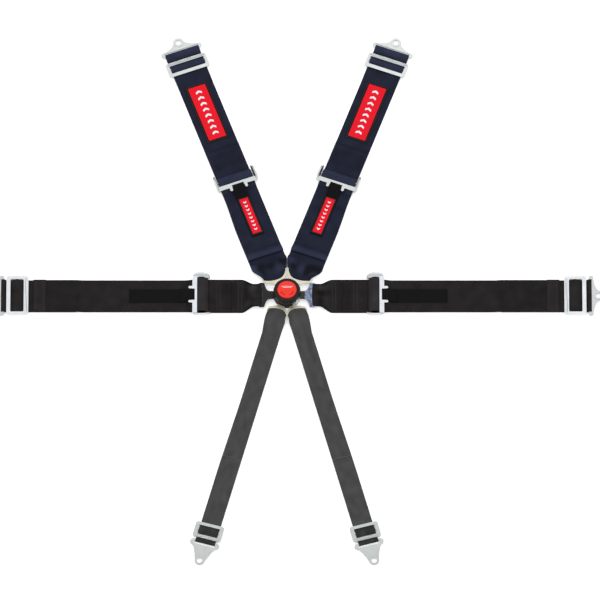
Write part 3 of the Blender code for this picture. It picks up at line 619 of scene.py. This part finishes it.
def tongue_loop(name, full, upper_from):
    """Stations from the upper ply's end, in and round the tongue's bar, and out to the full-width belt."""
    kind, side = name.split("_")
    place, tongue, _ = belt_of(name)
    slot = TONGUES[kind][1]
    inner, outer, shift, bulge, _ = MOUTHS[kind]
    flip = (side == "left") == (kind != "crotch")
    narrow = (outer, inner) if flip else (inner, outer)
    widening = SPREAD[kind][::-1] if flip else SPREAD[kind]
    start = tongue @ Vector((0, slot + TONGUE_SLOT + TONGUE_BAR + 1.5, 0))
    stop = place @ Vector((0, GATHER_END, 0))
    reach = (stop - start).length / 3
    outward = tongue.to_3x3() @ Vector((0, 1, 0))
    first = start + outward * reach
    second = stop - place.to_3x3() @ Vector((0, reach, 0))
    across_a = tongue.to_3x3() @ Vector((1, 0, 0))
    across_b = place.to_3x3() @ Vector((1, 0, 0))
    back = place.inverted()
    turn = back.to_3x3()
    inward = turn @ -outward

    def bow_at(weight):
        def bow(u):
            x = u * narrow[1 if u > 0 else 0] * (1 if flip else -1)
            return inward * (weight * (shift + bulge * bow_shape(kind, x)))
        return bow

    def station(u, upper):
        centre = sum((w * p for w, p in zip(cubic(u), (start, first, second, stop))), Vector())
        height = mix(TONGUE_Z - GAP - WEB / 2, PLY[0], ease(u))
        if upper:
            height += mix(TONGUE_T + 2 * GAP + WEB, WEB + GAP, ease(u / 0.6))
        centre.z = height
        halves = [mix(half, full, ease((u - a) / (b - a))) for half, (a, b) in zip(narrow, widening)]
        across = across_a.lerp(across_b, ease(u)).normalized()
        near, away = (1, 0) if flip else (0, 1)
        if kind in INNER_EDGE:
            edge = full + INNER_EDGE[kind] * (1 - ease(u))
            reach_in = (edge - (1 if flip else -1) * (back @ centre).x) / (turn @ across).x
            halves[near] = mix(inner, reach_in, ease(u / 0.15))
        halves[near] += FLARE[kind][0] * ease(u)
        halves[away] += FLARE[kind][1] * ease(u)
        pleat = 2.6 * math.sin(math.pi * min(1.0, u / 0.9)) if kind != "crotch" else 0.0
        return back @ centre, turn @ across, halves, bow_at(1 - ease(u / 0.8)), pleat

    bar_in = slot + TONGUE_SLOT
    offset = GAP + WEB / 2
    low, high = TONGUE_Z - offset, TONGUE_Z + TONGUE_T + offset
    corner = 1.6
    path = arc((bar_in - offset + corner, high - corner), corner, 90, 180, 8)
    path += arc((bar_in - offset + corner, low + corner), corner, 180, 270, 8)
    stations = [station(upper_from * (1 - i / 20), True) for i in range(21)]
    stations += [(back @ (tongue @ Vector((0, y, z))), turn @ across_a, narrow, bow_at(1.0), 0.0)
                 for y, z in path]
    return stations + [station(i / 20, False) for i in range(21)]


def fixed_bar_loop(bar, sign):
    """Slack roll of webbing round a fixed bar, from the upper ply to the lower."""
    roll = [(-18.0, PLY[1]), (-14.5, PLY[1] + 0.3), (-11.5, 5.2), (-8.6, 9.0), (-4.6, 11.7), (0.0, 12.7),
            (4.8, 12.6), (8.8, 11.8), (10.6, 9.9), (9.4, 7.9), (7.2, 5.4), (5.2, 2.4), (0.0, PLY[0])]
    return [(bar + sign * a, z) for a, z in roll]


def sliding_bar_loop(bar, sign):
    points = arc((0, 0), LOOP_R, -90, 104, 24)
    loop = [(bar - sign * y, SLIDING_BAR[1] + z) for y, z in points]
    return loop + [(bar + sign * 20.5, PLY[1] + 0.3), (bar + sign * 24, PLY[1])]


def weave(slide, rise, low_z, over_z, start_in):
    near, far = slide
    middle = (near + SLIDE_NEAR + far - SLIDE_FAR) / 2
    return [(near + SLIDE_NEAR + start_in, low_z), (middle - rise, over_z - 0.15), (middle, over_z),
            (middle + rise, over_z - 0.15), (far - SLIDE_FAR - start_in, low_z)]


def anchor_loop(kind, shift=0.0):
    """Upper ply through the slide, round the anchor's bar, and back below."""
    slide = [value - shift for value in SLIDES[kind][:2]]
    bar, leave = ANCHORS[kind][0] - shift, ANCHORS[kind][6]
    over = 5.4 + GAP + WEB / 2
    upper = weave(slide, 2.4, PLY[1], over + WEB + 0.55, 0.4) + [(slide[1] + 0.6, PLY[1])]
    lower = weave(slide, 1.5, PLY[0], over, 1.2)
    slack = 0.3 if kind == "lap" else 0.0
    return upper + arc((bar + slack, ANCHOR_Z + slack), LOOP_R + slack, leave, -90, 24) + lower[::-1]


# ---- sewing
STITCH_FACES = (0, 1, 3, 2), (2, 3, 5, 4), (4, 5, 7, 6), (0, 2, 4, 6), (1, 7, 5, 3), (0, 6, 7, 1)


def sewing(name, runs, body, place, material="thread_dark", length=2.8, pitch=3.9, width=0.8, height=0.5):
    """Stitches along lines of (x, y, z) points: small raised bars with rounded ends."""
    verts, faces = [], []
    for a, b in [pair for points in runs for pair in zip(points, points[1:])]:
        a, b = Vector(a), Vector(b)
        run = (b - a).length
        count = max(1, round(run / pitch))
        ahead = (b - a).normalized()
        side = Vector((-ahead.y, ahead.x, 0)).normalized()
        half = min(length, run / count * 0.8) / 2
        for i in range(count):
            middle = a.lerp(b, (i + 0.5) / count)
            base = len(verts)
            for along, spread, lift in ((-1, 0.6, -0.2), (-0.6, 1, 0.75), (0.6, 1, 0.75), (1, 0.6, -0.2)):
                spot = middle + ahead * (half * along) + Vector((0, 0, height * lift))
                verts += [spot - side * (width / 2 * spread), spot + side * (width / 2 * spread)]
            faces += [[base + k for k in corners] for corners in STITCH_FACES]
    make_piece(name, verts, faces, material, body, place, smooth=False)


def box_runs(half, low, high, z, cross=True):
    """Box stitch with a cross in it."""
    corners = [(-half, low, z), (half, low, z), (half, high, z), (-half, high, z), (-half, low, z)]
    if cross:
        return [corners, [corners[0], corners[2]], [corners[1], corners[3]]]
    return [corners]


def row_runs(half, rows, z):
    return [[(-half, y, z), (half, y, z)] for y in rows]


def zigzag_runs(half, low, depth, z, teeth):
    """Two zigzags across a belt that cross each other."""
    return [[(mix(-half, half, i / teeth), y + (rise if i % 2 else 0), z) for i in range(teeth + 1)]
            for y, rise in ((low, depth), (low + depth, -depth))]


# ---- labels
def make_label(name, low, high, half, z, body, place, node, marks, border):
    """Sewn label: dark border, red field, a row of plain chevrons and stitches round the edge."""
    cloth = plate(rounded_box(half + border, low - border, high + border, 1.2, 4), [], z, z + 0.7)
    hard_piece(name + "_border", cloth, "label_black", body, place, (), 0.25, 2)
    field = plate(rounded_box(half, low, high, 0.6, 3), [], z + 0.2, z + 0.95)
    hard_piece(name + "_field", field, "label_red", body, place, [node], 0.2, 2)
    step = (high - low) / (marks + 1)
    verts, faces = [], []
    wing, rise, bar = half * 0.34, step * 0.24, step * 0.33
    for i in range(marks):
        y = low + step * (i + 1)
        base = len(verts)
        for lift in (z + 0.8, z + 1.12):
            for x, up in ((-wing, 0), (0, rise), (wing, 0), (wing, bar), (0, rise + bar), (-wing, bar)):
                verts.append((x, y + up - (rise + bar) / 2, lift))
        walls = [(k, (k + 1) % 6, 6 + (k + 1) % 6, 6 + k) for k in range(6)]
        for corners in [(6, 7, 10, 11), (7, 8, 9, 10), *walls, (0, 5, 4, 1), (1, 4, 3, 2)]:
            faces.append([base + k for k in corners])
    make_piece(name + "_marks", verts, faces, "label_white", body, place, smooth=False)
    inset = border * 0.6
    edge = box_runs(half + inset, low - inset, high + inset, z + 0.75, False)
    sewing(name + "_stitches", edge, body, place, "thread_light", 1.8, 2.6, 0.5, 0.3)


# ---- hardware
def refine(points, step=1.5):
    """Adds points along the long edges of a closed outline."""
    fine = []
    for a, b in zip(points, points[1:] + points[:1]):
        pieces = max(1, math.ceil(math.dist(a, b) / step))
        fine += [(mix(a[0], b[0], i / pieces), mix(a[1], b[1], i / pieces)) for i in range(pieces)]
    return fine


def make_tongue(name, body, place):
    """T-shaped latch plate with a bowed slot for the webbing."""
    kind, side = name.split("_")
    neck, slot, half = TONGUES[kind]
    inner, outer, shift, bulge, _ = MOUTHS[kind]
    sign = 1 if (side == "left") == (kind != "crotch") else -1
    end = slot + TONGUE_SLOT + TONGUE_BAR
    right = arc((4.3, TONGUE_TIP + 2.2), 2.2, -90, 0, 8)
    right += [(neck, 30.0), (neck, slot - 13.0)]
    shoulder = (neck, slot - 13.0), (neck + 0.5, slot - 6), (half - 9, slot - 4.2), (half - 3, slot - 3.5)
    right += bezier(shoulder, 14)
    right += arc((half - 3, slot - 0.5), 3, -90, 0, 8) + arc((half - 3, end - 3), 3, 0, 90, 8)
    holes = [rounded_box(half - 2.6, slot + SLOT_EDGE, slot + TONGUE_SLOT, 1.0, 6)]
    if name == "lap_left":
        holes += [circle((x, 22.0), 2.1, 24) for x in (4.0, -4.0)]
    else:
        holes.append(rounded_box(3.5, 19.6, 25.3, 0.8, 4))

    def bowed(point):
        x, y = point
        weight = ease((y - 29.0) / (slot - 29.0))
        widest = inner if sign * x > 0 else outer
        x *= mix(1.0, (widest + 3.0) / half, weight)
        y -= weight * (shift + bulge * bow_shape(kind, sign * x))
        if kind != "lap":
            spot = keep_side(place, -1 if side == "left" else 1, Vector((x, y, 0)))
            x, y = spot.x, spot.y
        return x, y

    outline, *holes = [[bowed(p) for p in refine(loop)] for loop in [mirrored(right)] + holes]
    shape = plate(outline, holes, TONGUE_Z, TONGUE_Z + TONGUE_T)
    material = {"lap_left": "black_steel", "lap_right": "blue_chrome"}.get(name, "tongue_steel")
    hard_piece(name + "_tongue_plate", shape, material, body, place, [name + "_tongue"], 0.4, 2)


def make_slide(name, shift, body, place):
    """Slide frame with broad bars, one of them knurled, and the round middle bar under the webbing."""
    kind = name.split("_")[0]
    near, far, half, window = SLIDES[kind]
    broad_near, broad_far = SLIDE_LOOKS[kind]
    near, far = near - shift, far - shift
    metal = "chrome" if kind == "lap" else "zinc_steel"
    low, high = SLIDE_Z
    outline = rounded_box(half, near, far, 4.5)
    hole = rounded_box(window, near + broad_near, far - broad_far, 2.5)
    shape = plate(outline, [hole], low, high + 0.5)
    hard_piece(name + "_slide_rim", shape, metal, body, place, [name + "_slide"], 1.2, 4)
    middle = (near + SLIDE_NEAR + far - SLIDE_FAR) / 2
    rod = place @ Matrix.Translation((0, middle, low - 0.2))
    make_piece(name + "_slide_middle_bar", *twisted_rod(window + 2.5, 1.8, 9.0, 0.3, 8, 24), metal, body, rod)
    knurled = far - broad_far / 2 if kind != "lap" else near + broad_near / 2
    rod = place @ Matrix.Translation((0, knurled, (low + high) / 2 + 0.5))
    pitch = 26.0 if kind != "lap" else 90.0
    make_piece(name + "_slide_knurled_bar", *twisted_rod(window + 1.0, 3.1, pitch, 0.75, 8), metal, body, rod)


def make_anchor(name, shift, place):
    kind = name.split("_")[0]
    bar, eye, half, slot_half, slot_end, eye_r, _ = ANCHORS[kind]
    reach = eye - bar
    wing_r = (slot_end + 5.0) / 2
    right = [(half - 5.0, -2.0)] + arc((half - wing_r, wing_r - 2.0), wing_r, -50, 75, 14)
    touch = (eye_r * math.cos(math.radians(12)), reach + eye_r * math.sin(math.radians(12)))
    right += bezier((right[-1], (mix(eye_r, half, 0.45), wing_r * 1.7), (eye_r + 1.5, reach - 5), touch), 20)
    right += arc((0, reach), eye_r, 12, 90, 16)
    slot = rounded_box(slot_half, 2.0, slot_end, 1.2, 6)
    hole = circle((0, reach), 6.2)
    spot = place @ Matrix.Translation((0, bar - shift, ANCHOR_Z))
    shape = plate(mirrored(right), [slot, hole], -1.5, 1.5)
    body = name + "_anchor"
    hard_piece(name + "_anchor_plate", shape, "zinc_steel", body, spot, [name + "_anchor_tab"], 0.7, 4)
    boss = plate(circle((0, reach), eye_r - 1.2), [hole], 1.2, 2.1)
    hard_piece(name + "_anchor_boss", boss, "zinc_steel", body, spot, (), 0.35, 3)


def make_adjuster(name):
    """Adjuster: plate with its two teeth, leaning ears, fixed bar, knurled sliding bar and pull tab."""
    kind = name.split("_")[0]
    place = adjuster_frame(name)
    body = name + "_adjuster"
    metal, lean = ("chrome", 1.0) if kind == "lap" else ("zinc_steel", 0.35)
    low, high = 11.0, 21.0
    right = [(0, low), (43.0, low)] + arc((43.6, high - 3.0), 3.0, 0, 90, 6) + [(20.6, high)]
    right += bezier(((20.6, high), (20.0, high), (20.0, high + 0.6), (20.0, high + 1.4)), 5)
    right += arc((17.0, 26.5), 3.0, 0, 180, 16)
    right += [(14.0, high + 1.0), (13.6, high), (0, high)]
    slot = rounded_box(13.6, 15.9, 18.6, 0.8, 4)
    shape = plate(mirrored(right), [slot], 10.2, 12.2)
    hard_piece(name + "_adjuster_plate", shape, metal, body, place, [name + "_adjuster_frame"], 0.75, 4)
    notch = arc(SLIDING_BAR, BAR_R + 0.35, 0, 180, 16)
    ear = [(-15.0, 6.2), (-6.0, 3.2), (4.0, 2.2), (8.6, 2.0)] + notch[::-1]
    ear += [(SLIDING_BAR[0] + BAR_R + 0.35, 2.2), (17.6, 2.6), (20.8, 6.2)]
    ear += bezier(((20.8, 6.2), (21.4, 12.0), (15.0, 16.4), (3.0, 16.6)), 14)
    ear += bezier(((3.0, 16.6), (-5.0, 16.6), (-11.0, 15.0), (-15.6, 11.6)), 10)
    ear += arc((-14.6, 8.8), 2.7, 110, 200, 6)
    for side in (-1, 1):
        verts, faces = plate(ear, [], *sorted(side * x for x in EAR))
        spread = [(x + side * lean * max(0.0, z - 9.0), a, z) for a, z, x in verts]
        which = "near" if side < 0 else "far"
        hard_piece(f"{name}_adjuster_ear_{which}", (spread, faces), metal, body, place, (), 0.9, 4)
    fixed = place @ Matrix.Translation((0, 0, FIXED_BAR_Z))
    make_piece(name + "_fixed_bar", *twisted_rod(42.4, BAR_R, 400, 0.0, 1, 32), metal, body, fixed)
    sliding = place @ Matrix.Translation((0, *SLIDING_BAR))
    knurled = twisted_rod(41.8, BAR_R, 8.0, 0.35, 10, 40)
    make_piece(name + "_knurled_bar", *knurled, metal, belt_of(name)[2], sliding, [name + "_adjuster_bar"])
    make_pull_tab(name, place)


def make_pull_tab(name, place):
    shoulder = name.startswith("shoulder")
    end, half = (146.0, 14.0) if shoulder else (156.5, 15.7)
    body = name + "_tab"
    path = [(48.0, TAB_Z + TAB_T + GAP), (42.0, TAB_Z + TAB_T + GAP + 0.1)]
    path += arc(TAB_AXIS, TAB_LOOP_R, 70, 258, 24)
    path += [(40.0, TAB_Z), (end, TAB_Z)]
    stations = []
    for p in smooth_path(path, 0.8, 4, 6.0):
        spread = mix(12.8, half, ease((p[0] - 30.5) / 8))
        stations.append(flat_station(p, (spread, spread)))
    belt(name + "_pull_tape", stations, half, "pull_tab_black", body, place, name + "_pull_tab", TAB_T,
         lanes=10, wave=0.0)
    top = TAB_Z + TAB_T / 2
    over = top + TAB_T + GAP
    runs = box_runs(10.5, 40.5, 46.5, over, False) + box_runs(10.5, end - 9, end - 3, top)
    sewing(name + "_pull_tape_stitches", runs, body, place, "thread_dark", 2.0, 2.8, 0.6, 0.35)
    if shoulder:
        make_label(name + "_pull", 52.0, 140.0, 9.6, top + 0.1, body, place, name + "_pull_label", 8, 3.0)


# ---- belts
def make_shoulder(side):
    """Shoulder belt: the inner webbing ends in a rolled hem, the outer one in a zigzag-sewn ply."""
    name = "shoulder_" + side
    place, tongue, body = belt_of(name)
    make_tongue(name, body, tongue)
    fixed = FIXED_BAR[name]
    bar = fixed - SLIDING_BAR[0]
    stations = tongue_loop(name, WIDE, 0.85)
    roll = [(124.0, PLY[1] + 0.1), (119.0, PLY[1] + 1.6), (113.0, PLY[1] + 3.6), (108.0, PLY[1] + 3.9)]
    roll += arc((107.0, PLY[1] + 2.0), 1.95, 90, 250, 10) + [(112.0, PLY[1])]
    path = [(104.0, PLY[0]), (bar - 30, PLY[0])] + sliding_bar_loop(bar, -1) + [(134.0, PLY[1])] + roll
    outer = -1 if side == "left" else 1
    stations += band(path, WIDE, FLARE["shoulder"][::outer], (170.0, 268.0))
    # The rolled hem gets the default painted highlight on its raised stretch.
    belt(name + "_inner_webbing", stations, WIDE, "webbing_navy", body, place, name + "_inner_strap",
         seed=1.0 + len(side), side=outer)
    path = [(388.0, PLY[1]), (fixed + 30, PLY[1])] + fixed_bar_loop(fixed, -1) + [(fixed + 20, PLY[0])]
    near = SLIDES["shoulder"][0]
    path += [(near - 36, PLY[0]), (near - 25, PLY[1])] + anchor_loop("shoulder") + [(near - 22, PLY[0])]
    belt(name + "_outer_webbing", band(path, WIDE), WIDE, "webbing_navy", body, place, name + "_outer_strap",
         seed=3.0 + len(side))
    make_label(name + "_strap", 411.0, 546.0, 19.4, PLY[0] + WEB / 2, body, place, name + "_label", 8, 6.0)
    top = PLY[1] + WEB / 2 + 0.05
    runs = zigzag_runs(32.0, 334.0, 40.0, top, 12) + row_runs(35, (383.0, 385.5), top)
    sewing(name + "_ply_stitches", runs, body, place)
    sewing(name + "_hem_stitches", row_runs(35, (126.0,), top), body, place)
    make_adjuster(name)
    finish_end(name, 0.0, body, place)


def make_lap(side):
    """Lap belt: a sewn patch behind the tongue, and a hemmed adjusting tail."""
    name = "lap_" + side
    place, tongue, body = belt_of(name)
    shift = SHORTENED.get(name, 0.0)
    fixed = FIXED_BAR[name]
    make_tongue(name, body, tongue)
    flares = FLARE["lap"], (fixed + 30.0, fixed + 60.0)
    stations = band([(119.0, PLY[1]), (104.0, PLY[1])], WIDE, *flares) + tongue_loop(name, WIDE, 1.0)
    path = [(103.0, PLY[0]), (fixed - 20, PLY[0])] + fixed_bar_loop(fixed, 1)[::-1]
    path += [(fixed - 28, PLY[1]), (119.4, PLY[1])]
    stations += band(path, WIDE, *flares)
    belt(name + "_inner_webbing", stations, WIDE, "webbing_black", body, place, name + "_inner_strap",
         seed=5.0 + len(side))
    bar = fixed + SLIDING_BAR[0]
    start, end = 556.0 - shift, 582.0 - shift
    fold = 456.0 - (7 if side == "left" else 0)
    hem = arc((end, (PLY[2] + PLY[3]) / 2), (PLY[3] - PLY[2]) / 2, 90, -90, 12)
    path = [(start, PLY[3])] + hem + [(fold + 2, PLY[2]), (fold - 10, PLY[1]), (bar + 60, PLY[1])]
    path += sliding_bar_loop(bar, 1)[::-1]
    path += [(bar + 60, PLY[0]), (fold - 12, PLY[0]), (fold - 1, PLY[1])]
    path += anchor_loop("lap", shift) + [(fold + 2, PLY[0])]
    # A weak painted highlight on the raised stretches of this webbing.
    belt(name + "_outer_webbing", band(path, WIDE), WIDE, "webbing_black", body, place, name + "_outer_strap",
         seed=7.0 + len(side), painted_light=0.2)
    top = PLY[1] + WEB / 2 + 0.1
    rows = row_runs(34, (97.0, 104.0, 143.0, 150.0), top)
    sewing(name + "_patch_stitches", rows, body, place, "thread_light", 1.3, 4.6)
    crosses = zigzag_runs(33.0, 108.0, 30.0, top, 14)
    sewing(name + "_patch_crosses", crosses, body, place, length=2.6, pitch=4.2)
    rows = row_runs(35, (start + 2.5, start + 6.5, end - 5.0), PLY[3] + WEB / 2 + 0.1)
    sewing(name + "_hem_stitches", rows, body, place, "thread_light", 1.2, 3.4, 0.7)
    make_adjuster(name)
    finish_end(name, shift, body, place)


def make_crotch(side):
    """Crotch belt: one webbing, doubled as far as its sewn end."""
    name = "crotch_" + side
    place, tongue, body = belt_of(name)
    make_tongue(name, body, tongue)
    outer = -1 if side == "left" else 1
    flares = FLARE["crotch"][::-outer], (240.0, 450.0)
    stations = band([(403.0, PLY[1]), (104.0, PLY[1])], NARROW, *flares) + tongue_loop(name, NARROW, 1.0)
    path = [(104.0, PLY[0])] + anchor_loop("crotch")[::-1] + [(405.0, PLY[1])]
    stations += band(path, NARROW, *flares)
    # Raised stretches of this webbing get painted shade instead of a painted highlight.
    belt(name + "_webbing", stations, NARROW, "webbing_grey", body, place, name + "_strap", lanes=12,
         seed=9.0 + len(side), side=outer, painted_light=-0.5)
    edge = row_runs(NARROW - 0.8, (403.8,), PLY[1] + WEB / 2)
    sewing(name + "_end_edge", edge, body, place, "thread_grey", 4.4, 4.4, 1.1, 0.3)
    finish_end(name, 0.0, body, place)


def finish_end(name, shift, body, place):
    make_slide(name, shift, body, place)
    make_anchor(name, shift, place)


# ---- buckle
def make_buckle():
    """Finer housing, knob and face; the parts inside keep their own shapes."""
    grip = turned([
        (4.3, 23.0), (25.5, 23.0), (25.5, 17.6), (28.2, 17.6), (28.8, 17.9), (29.0, 18.6), (29.0, 22.0),
        (29.0, 25.5), (28.9, 28.4), (28.5, 30.2), (27.8, 31.4), (26.8, 32.1), (25.4, 32.4), (22.2, 32.4),
        (21.5, 32.0), (21.2, 31.2), (21.2, 26.2), (4.3, 26.2)], 192,
        lambda r, angle: r - (0.9 * max(0.0, math.cos(9 * angle)) ** 6 if r > 28.0 else 0.0))
    recalc(make_piece("knob_grip", *grip, "black_plastic", "knob", nodes=["knob"]))
    profile = [(0, 28.6), (12.0, 28.6), (12.0, 26.5), (20.7, 26.5), (20.8, 27.0), (20.8, 32.4), (20.6, 33.3),
               (20.0, 34.0), (19.0, 34.5), (16.0, 35.1), (12.0, 35.7), (8.0, 36.2), (4.0, 36.42), (0, 36.5)]
    recalc(make_piece("knob_dome", *turned(profile, 96), "red_plastic", "knob", nodes=["knob_face"]))
    make_knob_marks()

    housing = [(11.0, 17.0), (11.0, 15.0), (26.0, 15.0), (26.0, 2.3), (28.3, 2.3), (28.9, 2.7), (29.0, 3.5),
               (29.0, 5.2), (28.6, 5.6), (28.6, 10.6), (29.0, 11.0), (29.0, 15.8), (28.7, 16.6), (28.0, 17.0)]
    shell = make_piece("buckle_shell", *turned(housing, 144), "black_chrome", "buckle", nodes=["housing"])
    recalc(shell)
    for kind, (neck, _, _) in TONGUES.items():
        outline = [(-neck - 0.5, 24), (neck + 0.5, 24), (neck + 0.5, 31), (-neck - 0.5, 31)]
        for side in ("left", "right"):
            mouth = plate(outline, [], TONGUE_Z - 0.5, TONGUE_Z + TONGUE_T + 0.5)
            cut_slot(shell, *mouth, belt_of(f"{kind}_{side}")[1])
    inside = "back_plate", "centre_post", "retaining_clip", "return_spring", "rivet_", "cam_plate", "pawl_"
    for part in frame["record"]["subparts"]:
        if part["node"].startswith(inside):
            for entry in frame["nodes"][part["node"]].material_slots:
                entry.material = MATERIALS[part["material_slot"]]


def cut_slot(shell, verts, faces, place):
    """Cuts a tongue's mouth into the shell and applies the cut."""
    cutter = new_object("mouth", new_mesh("mouth", verts, faces))
    cutter.matrix_world = place
    recalc(cutter)
    cut = shell.modifiers.new("mouth", "BOOLEAN")
    cut.operation = "DIFFERENCE"
    cut.solver = "EXACT"
    cut.object = cutter
    bpy.context.view_layer.update()
    evaluated = shell.evaluated_get(bpy.context.evaluated_depsgraph_get())
    made = bpy.data.meshes.new_from_object(evaluated)
    shell.modifiers.clear()
    shell.data = made
    bpy.data.objects.remove(cutter)
    made.set_sharp_from_angle(angle=math.radians(35))


def sheet_on_dome(name, outline_sets, material):
    """Thin printed sheets on the knob's dome, each from rows of (x, y) points."""
    verts, faces = [], []
    for rows in outline_sets:
        faces += grid_faces(len(rows), len(rows[0]), len(verts))
        for x, y in sum(rows, []):
            dome = DOME_TOP - 2.0 * (math.hypot(x, y) / 19.0) ** 2
            verts.append((x, y, dome + 0.12))
    thicken(make_piece(name, verts, faces, material, "knob"), "print", 0.14)


def make_knob_marks():
    """Two white bars and two curved turn arrows on the dome."""
    bars = [[[(mix(-half, half, k / 16) + 0.6 * lift, y + lift) for k in range(17)]
             for lift in (0, 0.55, 1.1)] for y, half in ((5.6, 12.5), (2.9, 9.0))]
    sheet_on_dome("knob_bars", bars, "label_white")

    def ringed(widths, angle):
        return [((ARROW_R + w) * math.sin(angle), -(ARROW_R + w) * math.cos(angle)) for w in widths]

    arrows = []
    for side in (-1, 1):
        sweep = [ringed((-0.45, 0.0, 0.45), side * math.radians(18 + 3.2 * k)) for k in range(13)]
        arrows.append([list(row) for row in zip(*sweep)])
        head = []
        for k in range(4):
            spread = 1.6 * (1 - k / 3)
            angle = side * (math.radians(56.4) + math.radians(3.0 * k))
            head.append(ringed((-spread - 0.02, 0.0, spread + 0.02), angle))
        arrows.append(head)
    sheet_on_dome("knob_arrows", arrows, "label_black")


# ---- room, light and camera
def make_room():
    bpy.ops.mesh.primitive_plane_add(size=40.0, location=(0, 0, -0.0002))
    floor = bpy.context.object
    floor.name = "floor"
    floor.data.materials.append(floor_material())
    world = bpy.data.worlds.new("studio")
    bpy.context.scene.world = world
    world.use_nodes = True
    tree = world.node_tree
    split = tree.nodes.new("ShaderNodeSeparateXYZ")
    tree.links.new(tree.nodes.new("ShaderNodeTexCoord").outputs["Generated"], split.inputs[0])
    sky = tree.nodes.new("ShaderNodeMapRange")
    sky.inputs["To Min"].default_value = 0.40
    sky.inputs["To Max"].default_value = 1.22
    tree.links.new(split.outputs[2], sky.inputs["Value"])
    tree.links.new(sky.outputs[0], tree.nodes["Background"].inputs["Strength"])
    tree.nodes["Background"].inputs["Color"].default_value = (1.0, 1.0, 1.0, 1.0)
    lamps = (("key", (-1.6, -1.2, 2.6), 1.4, 9.0), ("fill", (2.0, -0.8, 2.2), 1.4, 5.0),
             ("rim", (0.3, 2.4, 2.4), 1.6, 8.0))
    for name, place, size, power in lamps:
        light = bpy.data.lights.new(name, "AREA")
        light.size = size
        light.energy = power
        lamp = new_object(name, light)
        lamp.location = place
        lamp.rotation_euler = (-Vector(place)).to_track_quat("-Z", "Y").to_euler()


def make_camera():
    """Far camera that looks down from the foot side."""
    elevation = math.radians(62.0)
    distance = 30.0
    seen = 1.284                # width in metres that the picture covers at the object
    aim = Vector((0.0278, -0.0078, 0.0))
    data = bpy.data.cameras.new("camera")
    data.sensor_width = 36.0
    data.lens = data.sensor_width * distance / seen
    data.clip_end = 200.0
    camera = new_object("camera", data)
    back = Vector((0, -math.cos(elevation), math.sin(elevation)))
    camera.location = aim + back * distance
    camera.rotation_euler = (-back).to_track_quat("-Z", "Y").to_euler()
    bpy.context.scene.camera = camera


bpy.context.scene.view_settings.view_transform = "Standard"
make_camera()
make_room()
make_buckle()
for belt_side in ("left", "right"):
    make_shoulder(belt_side)
    make_lap(belt_side)
    make_crotch(belt_side)
